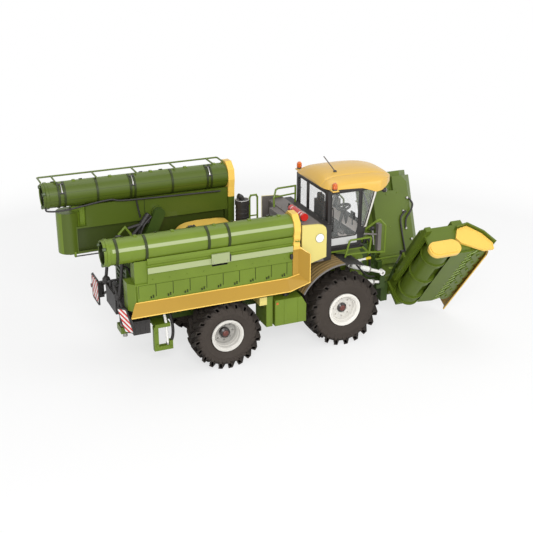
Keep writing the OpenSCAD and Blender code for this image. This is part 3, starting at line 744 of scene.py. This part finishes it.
# Finish of the nodes on both sides, less the side's name, which also follows a finish that ends in _
SIDE_FINISH = {
    "knuckle_": "grey", "tyre_front_": "tyre_front", "tyre_rear_": "tyre_rear", "rim_front_": "rim_front",
    # The arms take the dark green as painted shade: they stand deep in shade.
    "rim_rear_": "rim_rear", "arm_": "dark_green", "shaft_": "black", "front_deck_": "front_green",
    "front_bar_": "front_green", "front_cover_": "yellow", "tube_bands_": "band", "side_tube_": "tube_",
    "side_deck_": "deck_", "front_drums_": "drums_", "side_skirt_": "skirt_", "front_skirt_": "guard_",
}  # fmt: skip


class ToyOperator(bpy.types.Operator):
    """Base of the toy's operators."""

    bl_options = {"REGISTER", "UNDO"}

    def execute(self, context):
        self.make(context.scene.mower_colours, context.scene.mower_sizes)
        return {"FINISHED"}


class TOY_OT_paint(ToyOperator):
    """Give every CAD node its finish."""

    bl_idname = "toy_mower.paint"
    bl_label = "Paint the toy"

    def make(self, colours, sizes):
        make_finishes(colours)
        chosen = dict(NODE_FINISH)
        for s, _ in SIDES:
            for node, finish in SIDE_FINISH.items():
                chosen[node + s] = finish + s if finish.endswith("_") else finish
        for node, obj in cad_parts.items():
            obj.data.materials.clear()
            obj.data.materials.append(FINISH[chosen[node]].mat)


class TOY_OT_wheels(ToyOperator):
    """Bolts, hub caps, rim steps and side lugs of the four wheels."""

    bl_idname = "toy_mower.wheels"
    bl_label = "Fit the wheel trim"

    def make(self, colours, sizes):
        kit = Kit("wheel_trim")
        head = sizes.bolt / MM
        # End, middle and outer face of the tyre, height of the disc and of the hub, then steps as radius and height
        wheels = (
            ("front", 35.5, 46.0, 3.4, 5.5, ((10.15, 5.8), (11.1, 8.7))),
            ("rear", 38.25, 47.5, -1.1, 3.4, ((9.2, 1.4), (9.75, 4.6), (10.6, 7.6))),
        )
        turn = np.linspace(0, 2 * np.pi, 8, endpoint=False) + 0.39
        for end, middle, face, disc, hub, steps in wheels:
            x, z = AXLE[end]
            trim = [ring(r, 0.34, (0, 0, h)) for r, h in steps]
            trim += [stud(head, 0.8, (5.6 * math.cos(a), 5.6 * math.sin(a), disc - 0.05)) for a in turn]
            trim += [stud(0.4, 0.5, (3.3 * math.cos(a), 3.3 * math.sin(a), hub - 0.55)) for a in turn[::2]]
            trim.append(lathe([(2.0, -0.1), (2.0, 0.3), (1.6, 0.6), (0.8, 0.75)], (0, 0, hub)))
            trim.append(ring(4.1, 0.28, (0, 0, disc + 0.2)))
            lugs = shoulders(z, face - middle)
            for s, k in SIDES:
                for finish, parts in (("rim_", trim), ("tyre_", lugs)):
                    spun = [turned(p, (x, k * middle, z), (0, k, 0)) for p in parts]
                    kit.add(f"wheel_{end}_{s}", finish + end, *spun)
        kit.place()


def shoulders(radius, half, count=20, lean=0.35):
    """Lugs down both side walls of a tyre about z, in even steps: slanted blocks, one for each lug of the tread.

    The blocks lean back by a share of their way down, and one wall's lugs stand half a step from the other's.
    """
    tip, root = radius - 0.7, radius - 8.0
    bar = block((root, -1.2, half - 3), (tip, 1.2, half), 0.35)
    bar[0][:, 1] -= (tip - bar[0][:, 0]) * lean
    out = []
    for side in (1, -1):
        verts, faces = bar if side > 0 else (bar[0] * (1, 1, -1), [f[::-1] for f in bar[1]])
        # The tread's lugs slant by this angle between their middle and the wall
        slant = math.degrees((0.45 * half - 1) * 0.7 / (radius - 1.6))
        start = 90 - slant + (180 / count if side > 0 else 0)
        for a in np.radians(start + np.arange(count) * 360 / count):
            turn = np.array([(math.cos(a), math.sin(a), 0), (-math.sin(a), math.cos(a), 0), (0, 0, 1)])
            out.append((verts @ turn, faces))
    return out


class TOY_OT_cab(ToyOperator):
    """Window seals, wiper, handles, lamps, lining and seat of the cab, and the feet of what stands on it."""

    bl_idname = "toy_mower.cab"
    bl_label = "Fit the cab trim"

    def make(self, colours, sizes):
        kit = Kit("cab_trim")
        fit, pair = kit.fit, kit.pair
        side_panes = (
            ((44, 86), (66.5, 86), (68, 92), (68.5, 122.5), (44, 122.5)),
            ((70.2, 92), (73.4, 92), (81, 119), (81, 122.5), (70.6, 122.5)),
        )
        for pane_edge in side_panes:
            pair("hose", bent([(x, 29.05, z) for x, z in pane_edge], 2.0, 0.5, closed=True))
        # Door handle, hand bar, lamp under the roof and door hinge
        pair("black", block((63.4, 28.9, 99.5), (64.6, 30.1, 104.5), 0.3))
        pair("black", bent([(45, 28.9, 92), (45, 30.4, 93), (45, 30.4, 110), (45, 28.9, 111)], 1, 0.45))
        beam = (1, 0, -0.15)
        pair("black", lathe([(1.5, 0), (1.9, 0.8), (1.9, 2.6), (1.5, 3.0)], (90.4, 26, 119.2), beam))
        pair("white", lathe([(1.45, 0), (1.45, 0.25), (0.9, 0.5)], (93.3, 26, 118.75), beam))
        pair("black", *[stud(0.5, 0.6, (66.8, 28.9, z), LEFT) for z in (99, 96.4)])
        # Seals of the windscreen and the rear window, and the bars of the rear window
        screen = [(76.1, -26, 93), (76.1, 26, 93), (83.7, 26, 119), (83.7, -26, 119)]
        rear = [(40.9, -25, 98), (40.9, 25, 98), (40.9, 25, 122.5), (40.9, -25, 122.5)]
        fit("hose", *[bent(edge, 2.5, 0.5, closed=True) for edge in (screen, rear)])
        fit("black", block((40.3, 4.6, 98), (41.2, 8.6, 122.4), 0.3))
        fit("black", block((40.2, -25, 95.6), (41.2, 25, 98.2), 0.3))
        # Wiper: hub, arm and blade lie on the slope of the windscreen
        fit("black", stud(1.3, 1.2, (83.6, -3, 118), (0.96, 0, -0.28), 12))
        fit("black", tube([(84.5, -3, 117.8), (83.2, -6, 113.9), (80.3, -24, 104.6)], (0.6, 0.6, 0.45), 8))
        fit("black", tube([(82.2, -11, 111.0), (79.4, -25.4, 101.4)], 0.5, 8))
        # Moulded seat, console and column boot
        fit("hose", block((50.6, -7.6, 88), (61.6, 7.6, 90.6), 1.0))
        fit("hose", block((50.5, -7.2, 91), (52.4, 7.2, 107.4), 0.8))
        fit("hose", block((47.4, -4.4, 108), (50.6, 4.4, 114), 1.0))
        fit("grey", block((64, -9, 79), (67, 9, 82), 1.0))
        fit("black", lathe([(3.0, 0), (2.2, 4), (1.8, 10), (1.5, 21)], (74.4, -2, 78.8), (-5, 0, 21), sides=20))
        fit("black", ring(5.2, 1.0, (68.8, -2, 100.4), (-0.259, 0, 0.966)))
        # Lining under the windscreen, on the floor and inside the doors
        front = block((45.8, -26.6, 79.4), (46.05, 26.6, 91.9))
        front[0][:, 0] += SCREEN_SLOPE * front[0][:, 2]
        fit("lining", front, block((62, -26.6, 78.65), (68.8, 26.6, 79.1)))
        pair("lining", block((44, 26.9, 79.1), (68, 27.3, 85.9)))
        # Screen on its stalk
        fit("black", block((69, -20, 96), (70, -13.5, 101), 0.4))
        fit("black", tube([(69.4, -16.6, 90), (69.5, -16.7, 96.4)], 0.5, 8))
        # Foot of the antenna and of the beacons
        fit("black", lathe([(1.5, 0), (1.3, 0.7), (0.7, 1.1)], (54.9, -12, 134.6), sides=20))
        pair("black", lathe([(1.95, 0), (1.95, 0.9), (1.7, 1.2)], (44.7, 32.3, 126.4)))
        pair("lens_orange", ring(2.1, 0.16, (44.7, 32.3, 128.8), sides=24, around=6))
        kit.place()


def roof_shell():
    """The roof with a crown both ways: its drop below the top is the 1.25-norm of the drops along x and along y.

    Each row is a closed loop over the top and back along the underside, which is raised to the cab's ceiling.
    """
    top, ceiling, power = 135.9, 124.8, 1.25
    along = smooth_path(
        [(39, 127.6), (41, 130.6), (44, 133.2), (48.5, 134.9), (54, 135.6), (63, 135.9),
         (74, 135.7), (84, 135), (92, 133.4), (98, 131.6), (101, 129.8), (103.6, 127.8)], 90
    )  # fmt: skip
    across = (
        (0, 7, 12, 17.5, 18.5, 19.5, 23.8, 26.6, 28.8, 30),
        (135.9, 135.5, 134.8, 133.3, 132.3, 132.7, 131.4, 130, 128.4, 126),
    )
    outline = (
        (39, 39.6, 41.4, 44.5, 48, 80, 88, 94.6, 99.6, 102.6, 104),
        (21, 25, 28, 29.6, 30, 30, 28.6, 25.4, 20.4, 15, 9),
    )
    eaves = (
        (39, 60, 70, 77, 83, 89, 95, 101, 104),
        (126, 125, 124.4, 122, 119.6, 120.2, 122.6, 124.8, 126.6),
    )
    half, edge = (np.interp(along[:, 0], *table) for table in (outline, eaves))
    v = np.unique(np.concatenate([np.linspace(-1, 1, 81), (-0.974, -0.962, 0.962, 0.974)]))
    x = np.broadcast_to(along[:, :1], (len(along), len(v)))
    y = half[:, None] * v
    drop = top - np.interp(np.abs(y), *across)
    upper = top - (np.maximum(top - along[:, 1:], 0) ** power + drop**power) ** (1 / power)
    inside = (x < 84) & (np.abs(y) < 28.95)
    lower = np.where(inside, np.maximum(edge[:, None], ceiling), edge[:, None])
    upper = np.maximum(upper, lower + 0.25)
    loop = np.concatenate([np.stack([x, y, upper], -1), np.stack([x, y, lower], -1)[:, ::-1]], 1)
    return skinned(loop)


class TOY_OT_roof(ToyOperator):
    """The cab's roof, crowned both ways, with the shelves of the beacons."""

    bl_idname = "toy_mower.roof"
    bl_label = "Fit the roof"

    def make(self, colours, sizes):
        shelf = block((42, 28, 125.2), (47.5, 34.6, 126.4), 0.25)
        whole = joined([roof_shell(), shelf, mirrored(shelf)])
        cover = piece("roof_cover", whole, "chassis", FINISH["roof"].mat, 50)
        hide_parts("cab_roof")


class TOY_OT_body(ToyOperator):
    """Vents, caps, hoses and fittings of the body between the cab and the tail."""

    bl_idname = "toy_mower.body"
    bl_label = "Fit the body trim"

    def make(self, colours, sizes):
        kit = Kit("body_trim")
        fit, pair = kit.fit, kit.pair
        hose = sizes.hose / MM
        # Vents of the body and of the hood
        pair("black", *[block((-62 + 4 * i, 15.9, 62), (-60 + 4 * i, 16.5, 78), 0.25) for i in range(12)])
        pair("black", *[block((-66 + i * 5, 16.9, 91), (-63 + i * 5, 17.4, 95.5), 0.2) for i in range(7)])
        # Bare round sign and its rim, then the lamp, cap and straps of a tank
        pair("white", lathe([(3.5, 0), (3.5, 0.22), (3.2, 0.3)], (29, 40, 92.3), LEFT, sides=40))
        pair("black", ring(3.5, 0.14, (29, 40.2, 92.3), LEFT, sides=40, around=6))
        pair("lens_orange", block((-8.2, 41.9, 43.4), (-6.4, 42.4, 45.2), 0.2))
        pair("black", lathe([(2.6, 0), (2.6, 1.2), (2.2, 1.7), (1.2, 1.8)], (3, 34, 46.9)))
        pair("green", *[block((x, 41.8, 25.6), (x + 1.6, 42.3, 46.6), 0.2) for x in (-1.5, 10)])
        # Yellow line with sleeves above the lift cylinder, and the cylinder's hoses and glands
        line = np.linspace((58.6, 24.2, 60.6), (83, 24.2, 62.0), 12)
        pair("rod_yellow", tube(line[:6], 1.2), tube(line[9:], 1.2))
        pair("white", tube(line[5:10], 0.9))
        pair("steel", *[block((x, 21.6, z), (x + 1.6, 25, 61.8), 0.3) for x, z in ((65.2, 57), (73, 55))])
        for low, high in (((70, 25.0, 58), (88, 22.6, 44)), ((74, 20.0, 60), (93, 19.4, 47))):
            mid = ((low[0] + high[0]) / 2, low[1] + 1.6, (low[2] + high[2]) / 2 - 3)
            pair("hose", cord([low, mid, high], hose))
        for place, axis in (((83.4, 22, 50.8), (18, 0, -6.6)), ((87.4, 22, 39.1), (16, 0, -3))):
            pair("steel", lathe([(2.5, -0.8), (2.5, 0.6), (2.0, 1.0)], place, axis))
        pair("steel", *[stud(1.1, 0.7, p, LEFT) for p in ((66, 22.4, 57.2), (95.5, 23.7, 46.4))])
        # Valve block in front of the cab's base, with its pipes
        pair("dark_green", block((74, 4, 50), (85.6, 14.5, 70.5), 0.6))
        for y in (6, 9, 12):
            bend = [(83, y, 70), (84.6, y, 74), (87.6, y + 1, 72), (88, y + 2, 62), (89, y + 1, 46)]
            pair("green" if y == 9 else "hose", cord(bend, 0.9, 30))
        # Treads on the step under the cab door
        pair("black", *[block((50 + 2.4 * i, 27, 76.9), (51.2 + 2.4 * i, 29.9, 77.35), 0.1) for i in range(9)])
        # Hoses along the frame behind the tanks
        run = [(-12, 17, 47), (-26, 17.4, 46), (-40, 17, 48), (-60, 17.2, 46.4), (-84, 17.6, 48), (-97, 17.6, 50)]
        pair("hose", *[cord([(x, y + d, z + d) for x, y, z in run], hose) for d in (0, 1.7)])
        # Extinguisher: bands, valve, lever and hose
        for y in (-20.4, -16.5, -2.5):
            fit("steel", ring(3.05, 0.3, (24, y, 104.2), LEFT, sides=32, around=8))
        fit("black", lathe([(1.6, 0), (1.6, 1.6), (1.1, 2.2)], (24, 4.4, 104.2), LEFT, sides=16))
        fit("black", block((23.4, 5.6, 104.8), (24.6, 7, 106.8), 0.2))
        fit("hose", cord([(24, 6.4, 104), (26.5, 8, 103), (28.2, 3, 102), (28.4, -8, 101.8)], 0.6))
        # Muffler lip, heat shield ribs and tail pipe
        fit("black", *[ring(5.25, 0.3, (-15, 10, 91 + 3.2 * i)) for i in range(6)])
        fit("steel", ring(5.2, 0.5, (-15, 10, 113.8)))
        fit("black", bent([(-15, 10, 108), (-15, 10, 115.6), (-18.4, 10, 117.4)], 3, 2.1, sides=16))
        # Pipes, boxes and lugs on the top between the hood and the platform, and behind the hood
        fit("black", bent([(-24, -6, 92), (-16, -6, 93), (-10, -6, 90), (-8, -6, 87.6)], 4, 1.6, sides=14))
        fit("grey", block((-4, -12, 88), (8, -4, 93), 1), block((-21, -13, 87.9), (-12, -9.4, 91), 0.8))
        fit("black", lathe([(2.4, 0), (2.4, 1.4), (1.9, 2.0)], (3, 4, 87.9)))
        fit("black", bent([(-66.6, -7, 95), (-64.4, -7, 100.6), (-60.4, -7, 104.4)], 3, 1.3, sides=14))
        for x in (-98, -86):
            pair("green", bent([(x, 12.6, 87.6), (x + 3.5, 12.6, 94), (x + 7, 12.6, 87.6)], 1.5, 0.7))
        fit("green", block((-96, -8, 88), (-78, 8, 90.5), 0.8), block((-92, -4, 90.4), (-84, 4, 92.4), 0.6))
        pair("hose", cord([(-76, 9, 88.2), (-84, 12, 94), (-94, 14, 90), (-104, 15.4, 82), (-109, 15.8, 70)], 0.9))
        # Platform: two catches, a loop and studs
        fit("green", block((14, -20.6, 99.9), (18.6, -14, 101.2), 0.3))
        fit("green", block((13.4, -12, 99.9), (17, -8.6, 102.2), 0.4))
        fit("green", bent([(16, -20, 101), (16, -20, 103.6), (16, -15, 103.6), (16, -15, 101)], 1, 0.5))
        for x in (21.5, 38.5):
            fit("grey", *[stud(0.45, 0.4, (x, -35 + 10 * j, 100.95)) for j in range(8)])
        kit.place()


class TOY_OT_fenders(ToyOperator):
    """Ribbed covers over the front wheels, with a rolled lip and the brackets that carry them."""

    bl_idname = "toy_mower.fenders"
    bl_label = "Fit the fenders"

    def make(self, colours, sizes):
        kit = Kit("fender_trim")
        inner, outer, radius, wall = 25.0, 47.0, 41.0, 1.5
        ribs, depth, lip_radius, lip_start = 6, 0.55, 40.2, 18
        cx, cz = 48.0, 30.1
        across = np.linspace(inner, outer, 73)
        wave = 0.5 - 0.5 * np.cos((across - inner) / (outer - inner) * ribs * 2 * np.pi)
        top = np.stack([radius - depth * (1 - wave), across], -1)
        low = np.stack([np.full(9, radius - wall), np.linspace(outer, inner, 9)], -1)
        angles = np.linspace(66, 150, 64)
        parts = [
            arched(np.concatenate([top, low]), angles, (cx, cz)),
            block((42, 19, 66), (54, 27, 69), 0.3),
            block((42, 25, 68), (54, 27, 70), 0.3),
        ]
        a = np.radians(angles[lip_start:])
        lip = [cx + lip_radius * np.cos(a), np.full_like(a, outer - 0.3), cz + lip_radius * np.sin(a)]
        kit.pair("grey", tube(np.stack(lip, -1), 0.75))
        kit.pair("black", *[stud(0.6, 0.5, (x, 23, 68.9)) for x in (44, 47)])
        whole = joined([on_side(p, k) for _, k in SIDES for p in parts])
        cover = piece("fender_covers", whole, "chassis", FINISH["fender"].mat)
        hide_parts("fenders")
        kit.place()


class TOY_OT_side_mowers(ToyOperator):
    """Hoses, clasps, lugs, rods and bolts of the two side mowers and their arms."""

    bl_idname = "toy_mower.side_mowers"
    bl_label = "Fit the side mower trim"

    def make(self, colours, sizes):
        kit = Kit("side_trim")
        hose = sizes.hose / MM
        under = ((-138.4, 95.4), (-136.4, 92.9), (-123.4, 93.3), (-91.4, 97), (-75.9, 95), (-1.3, 92.9))
        for s, _ in SIDES:
            put = kit.at("side_mower_" + s, on_unit, s)
            arm = kit.at("arm_" + s, on_arm, s)
            # Hoses under the tube, and the rod along the foot of the deck
            put("hose", cord([(x, 23.2 if x > -130 else 26, z) for x, z in under], hose, 60))
            put("hose", cord([(-69.6, 23.4, 94), (-68.6, 24, 88), (-67, 24.2, 79.6)], hose))
            put("band", block((-63.25, 24.8, 82.6), (-62.75, 25.1, 93.6)))
            put("black", tube([(-119.6, 24.5, 55), (2.4, 24.5, 55)], 0.55, 8))
            put("green", *[block((x, 24, 54.4), (x + 1.6, 26.4, 58.6), 0.2) for x in (-119.8, -60, 0.6)])
            # Clasps: bars that follow the tube between the two bands of a pair, with a catch at each end
            arc = np.radians(np.linspace(20, 62, 9))
            for x in (-125.6, -71.5, -9.6):
                bar = np.stack([np.full(9, x), TUBE_Y - 10.5 * np.cos(arc), TUBE_Z + 10.5 * np.sin(arc)], -1)
                put("steel", tube(bar, 0.5, 8))
                for i in (0, 8):
                    put("black", tube([bar[i] - (1.6, 0, 0), bar[i] + (1.8, 0, 0)], 0.6, 8))
            # Lugs on the top of the tube, and its rear end: rim, collar, catches and the plate inside, dark as
            # painted shade in the tube's mouth
            for x in (-116, -88, -56, -28, -4):
                put("green", block((x, 31.6, 112.2), (x + 2.6, 34.4, 113.3), 0.3))
            collar = [(9.5, 0), (10.2, 0.4), (10.2, 2.4), (9.5, 2.8)]
            put("tube_" + s, ring(9.05, 0.62, (-138.9, TUBE_Y, TUBE_Z), AHEAD))
            put("tube_" + s, turned(hoop(collar), (-137.6, TUBE_Y, TUBE_Z), AHEAD))
            for a in np.radians((35, 155, 275)):
                place = (-137.9, TUBE_Y + 9 * math.cos(a), TUBE_Z + 9 * math.sin(a))
                put("dark_green", stud(1.5, 2.2, place, -AHEAD, 8))
            put("band", lathe([(8.1, 0), (8.1, 1.2), (3.0, 1.6)], (-131, TUBE_Y, TUBE_Z), -AHEAD, 40))
            # Rolled hem of the skirt, bolts on the deck and the plate, and a latch under the front of the tube
            put("yellow", tube([(-124, 47.6, 55.5), (1.0, 47.6, 55.5), (17.3, 47.7, 60.4)], 0.55, 8))
            put("yellow", tube([(-118.6, 41.5, 64), (1.2, 41.5, 64), (11.4, 41.6, 66)], 0.42, 8))
            put("yellow", tube([(17.4, 47.7, 60.2), (17.4, 47.7, 83.4), (11.4, 41.4, 88)], 0.55, 8))
            put("green", *[stud(0.55, 0.5, (-105 + 13 * i, 40.9, 80.5), LEFT) for i in range(9)])
            put("steel", *[stud(0.5, 0.4, (x, 43.5, 87.2), LEFT) for x in (-59, -48)])
            put("black", block((-46.4, 41.4, 86), (-45, 43, 91.4), 0.3))
            put("black", block((3.2, 41, 79.5), (5.2, 43.4, 83.6), 0.4))
            loop = [(7, 43.2, 94), (7, 45.4, 94.4), (9.6, 45.4, 94.4), (9.6, 43.2, 94)]
            put("green", bent(loop, 1, 0.4))
            # Hoses, clamps and bolts on the arm
            for d in (-1.6, 1.4):
                line = [(56, d, 5.4), (46, d * 1.4, 8.6), (30, d * 1.6, 7.2), (14, d * 1.6, 8.4), (4, d, 6.6)]
                arm("hose", cord(line, 0.8))
            arm("steel", *[block((x, -2.7, 5.6), (x + 2, 2.7, 9.6), 0.5) for x in (18, 34)])
            for x, r in ((0, 2.6), (60, 2.4)):
                arm("steel", stud(r, 0.7, (x, 1.95, 0), LEFT))
        kit.place()


class TOY_OT_front_mowers(ToyOperator):
    """Hoses, pins, bolts, knives and hems of the two front mowers."""

    bl_idname = "toy_mower.front_mowers"
    bl_label = "Fit the front mower trim"

    def make(self, colours, sizes):
        kit = Kit("front_trim")
        hose = sizes.hose / MM
        lines = (
            [(141, 54, 7.8), (142.4, 54.4, 9.4), (139.6, 53.6, 10.9), (135.6, 49, 10.9), (135.2, 37, 10.9),
             (135.8, 20, 10.9), (135.6, 15, 10.4)],
            [(147.4, 66, 7.6), (150, 60, 9), (147, 54, 9.2), (142.4, 48, 8.2), (141, 40, 7.8)],
        )  # fmt: skip
        guard = ((136, -2.6), (144, -1.2), (153.4, -9.6), (159, -18.8), (157.8, -23.2), (150.2, -23.2))
        for s, _ in SIDES:
            put = kit.at("front_mower_" + s, on_front, s)
            # Hoses with their ports, bolts and a ledge on the deck
            put("hose", *[cord(p, hose * 1.15, 50) for p in lines])
            for x, u in ((146, 66), (141.4, 40), (140.6, 55), (145.6, 30)):
                put("steel", stud(1.2, 1.6, (x, u, 6.9), sides=12))
            for x in (114, 125, 136):
                put("green", *[stud(0.6, 0.5, (x, u, 9.95)) for u in (14.5, 43, 71.5)])
            put("green", block((106.4, 16.6, 9.2), (138, 18.2, 11.2), 0.3))
            # Knives under the discs, and slanting ribs along the cutter bar
            for i in range(7):
                u = 13 + i * 64 / 6
                put("front_green", stud(1.3, 0.8, (150, u, -22), -UP, 12))
                slant = [(139, u - 3.4, -21.7), (146, u - 0.6, -20.9), (151.5, u + 3.6, -19.9)]
                rib = tube(slant, (0.5, 0.7, 0.4), 8)
                put("green", rib, (rib[0] + (0, 5.2, 0), rib[1]))
            # Bolts round the drive cover, rolled hem of the skirt and a seam on the guard
            for x, w in ((108, -13.4), (117, -13.2), (125.4, -13.4), (108, -20.6), (117, -20.8), (125.4, -20.6)):
                put("yellow", stud(0.5, 0.4, (x, 89.7, w), LEFT))
            put("yellow", tube([(156.6, -9, -23.7), (156.6, 78, -23.7)], 0.5, 8))
            put("yellow", bent([(x, 88.3, w) for x, w in guard], 1, 0.32))
            # Link from the hinge to the deck, and the lug with a loop on its end
            put("dark_green", tube([(108, 2, 4), (108, 30, 7.6)], 1.1, 10))
            put("steel", tube([(108, 29, 7.5), (108, 44, 9.2)], 0.7, 10))
            put("black", lathe([(1.9, -1.2), (1.9, 1.2)], (108, 44, 9.2), AHEAD, sides=16))
            put("green", block((107, 42.5, 3.4), (109, 46, 8), 0.3))
        kit.place()


class TOY_OT_tail(ToyOperator):
    """Hoses, board edges, lamp rings and the pin of the tail."""

    bl_idname = "toy_mower.tail"
    bl_label = "Fit the tail trim"

    def make(self, colours, sizes):
        kit = Kit("tail_trim")
        fit, pair = kit.fit, kit.pair
        # Hoses on the hitch plate with their glands and bolts
        pair("white", cord([(-93, 25, 44), (-92, 25.4, 37), (-91.4, 25.2, 26), (-91, 25, 16.5)], 1.1))
        pair("hose", cord([(-88.4, 25, 43.7), (-86.9, 25.4, 34), (-86.9, 25.4, 26), (-88.7, 25, 19)], 1.2))
        gland = revolve([(1.5, 0), (1.5, 2), (1.2, 2.4)], 16)
        pair("steel", *[turned(gland, p) for p in ((-91, 25, 18.4), (-88.7, 25, 19.5))])
        bolts = ((-100, 27, 30), (-100, 27, 20), (-89, 27, 17))
        pair("green", *[stud(0.9, 0.6, p, LEFT) for p in bolts])
        # Loop and hose of the rear post, and vents
        pair("black", ring(3.1, 0.5, (-125.4, 17.5, 61), (1, 0, 0.4), sides=24, around=8))
        post = [(-121.6, 19.4, 86), (-117, 17.6, 82), (-114, 15.4, 72), (-116, 14.6, 60)]
        pair("hose", cord(post, 0.8))
        pair("black", *[block((-118 + 4 * i, 31.9, 36), (-116 + 4 * i, 32.3, 43.6), 0.1) for i in range(3)])
        # Edge of the leaning right board
        lean, swing = math.radians(-14.5), math.radians(33)
        y, z = np.array([(-8.5, -20.6), (0, -20.6), (0, 0), (-8.5, 0)]).T
        x, y = -y * math.sin(swing), y * math.cos(swing)
        x, z = x * math.cos(lean) + z * math.sin(lean), -x * math.sin(lean) + z * math.cos(lean)
        fit("black", bent(np.stack([x - 129.2, y - 28.8, z + 57], -1), 1.2, 0.75, closed=True))
        # Rims of the lamps, a lamp's foot and the pin of the hitch
        for place in ((-130.2, 50.6, 44), (-126.8, -26.8, 42.2)):
            fit("black", ring(1.45, 0.3, place, AHEAD, sides=24, around=8))
        fit("black", tube([(-129.4, 48.6, 44), (-129.4, 50.6, 44)], 0.7, 8))
        pin = [(1.85, -10), (1.85, 0), (2.6, 0.3), (2.6, 1.2), (1.2, 1.6)]
        fit("steel", lathe(pin, (-117.5, 0, 29.2), sides=20))
        kit.place()


class TOY_OT_stage(ToyOperator):
    """Pale floor, soft studio light and the camera."""

    bl_idname = "toy_mower.stage"
    bl_label = "Set the studio"

    def make(self, colours, sizes):
        scene = bpy.context.scene
        scene.view_settings.view_transform = "Standard"
        make_floor()
        world = bpy.data.worlds.new("studio")
        scene.world = world
        world.use_nodes = True
        tree = Tree(world.node_tree)
        kinds = ("Is Camera Ray", "Is Glossy Ray", "Is Transmission Ray")
        camera, glossy, through = (tree.node("ShaderNodeLightPath", {}, {}, kind) for kind in kinds)
        seen = camera.max(glossy.max(through))
        level = tree.node("ShaderNodeMapRange", {}, {"Value": seen, "To Min": 0.4, "To Max": 1.0})
        background = tree.nodes["Background"].inputs
        tree.plug(background["Color"], (1, 1, 1))
        tree.plug(background["Strength"], level)
        # Name, place, size in m, power in W and the height on the middle line that it points at
        for name, place, size, power, height in (
            ("key", (-0.35, -1.15, 0.72), 0.8, 16.5, 0.06),
            ("fill", (0.9, -0.6, 0.6), 0.9, 4.0, 0.06),
            ("top", (0.1, 0.3, 1.3), 0.9, 3.0, 0.05),
        ):
            light = bpy.data.lights.new(name, "AREA")
            light.shape, light.size, light.energy = "DISK", size, power
            lamp = bpy.data.objects.new(name, light)
            scene.collection.objects.link(lamp)
            lamp.location = place
            aim = Vector((0.0, 0.0, height)) - Vector(place)
            lamp.rotation_euler = aim.to_track_quat("-Z", "Y").to_euler()
        make_camera(scene, sizes.lens)


def make_floor():
    """A flat grid that fades to plain white away from the toy, and is lifted towards white for the camera."""
    n, half, below = 24, 3.0, -0.00005
    fade, soft, lift = 0.36, 0.16, 0.66
    axis = np.linspace(-half, half, n)
    gx, gy = np.meshgrid(axis, axis, indexing="ij")
    verts = np.stack([gx, gy, np.full_like(gx, below)], -1).reshape(-1, 3)
    mesh = bpy.data.meshes.new("studio_floor")
    mesh.from_pydata(verts.tolist(), [], grid_faces(n, n).tolist())
    mesh.update()
    floor = bpy.data.objects.new("studio_floor", mesh)
    bpy.context.scene.collection.objects.link(floor)
    f = Finish("studio_floor", Base_Color=(0.86, 0.86, 0.86), Roughness=0.6)
    white = length(f.x, f.y).above(fade, soft)
    plain = f.node("ShaderNodeEmission", {}, {"Color": (1.0, 1.0, 1.0), "Strength": 1.0})
    shader = Sock(f, f.shader.outputs[0])
    seen = f.node("ShaderNodeLightPath", {}, {}, "Is Camera Ray")
    blend = f.node("ShaderNodeMixShader", {}, {0: white.max(seen * lift), 1: shader, 2: plain})
    f.links.new(blend.out, f.nodes["Material Output"].inputs["Surface"])
    mesh.materials.append(f.mat)


def make_camera(scene, focal):
    """The photograph's view: 22 degrees above the ground, from behind and to the right."""
    data = bpy.data.cameras.new("studio_camera")
    data.lens, data.sensor_width = focal, 36.0
    data.clip_start, data.clip_end = 0.01, 20.0
    cam = bpy.data.objects.new("studio_camera", data)
    scene.collection.objects.link(cam)
    up, turn = math.radians(22.14), math.radians(23.16)
    back = Vector((-math.sin(turn) * math.cos(up), -math.cos(turn) * math.cos(up), math.sin(up)))
    cam.location = (-0.28521, -0.6704, 0.35485)
    cam.rotation_euler = (-back).to_track_quat("-Z", "Y").to_euler()
    scene.camera = cam


class TOY_PT_panel(bpy.types.Panel):
    """Lists the toy's operators and settings in the sidebar."""

    bl_idname = "TOY_PT_panel"
    bl_label = "Toy mower"
    bl_space_type = "VIEW_3D"
    bl_region_type = "UI"
    bl_category = "Toy mower"

    def draw(self, context):
        for cls in OPERATORS:
            self.layout.operator(cls.bl_idname)
        for group in (context.scene.mower_colours, context.scene.mower_sizes):
            for key in group.__annotations__:
                self.layout.prop(group, key)


OPERATORS = (
    TOY_OT_paint, TOY_OT_wheels, TOY_OT_cab, TOY_OT_roof, TOY_OT_body, TOY_OT_fenders,
    TOY_OT_side_mowers, TOY_OT_front_mowers, TOY_OT_tail, TOY_OT_stage,
)  # fmt: skip
CLASSES = (MowerColours, MowerSizes, *OPERATORS, TOY_PT_panel)


def register():
    """Adds the classes and the settings to Blender."""
    for cls in CLASSES:
        bpy.utils.register_class(cls)
    bpy.types.Scene.mower_colours = bpy.props.PointerProperty(type=MowerColours)
    bpy.types.Scene.mower_sizes = bpy.props.PointerProperty(type=MowerSizes)


def unregister():
    """Takes the settings and the classes out again."""
    del bpy.types.Scene.mower_colours
    del bpy.types.Scene.mower_sizes
    for cls in reversed(CLASSES):
        bpy.utils.unregister_class(cls)


def main():
    """Runs the operators in order."""
    register()
    bpy.ops.toy_mower.paint()
    bpy.ops.toy_mower.wheels()
    bpy.ops.toy_mower.cab()
    bpy.ops.toy_mower.roof()
    bpy.ops.toy_mower.body()
    bpy.ops.toy_mower.fenders()
    bpy.ops.toy_mower.side_mowers()
    bpy.ops.toy_mower.front_mowers()
    bpy.ops.toy_mower.tail()
    bpy.ops.toy_mower.stage()


if __name__ == "__main__":
    main()
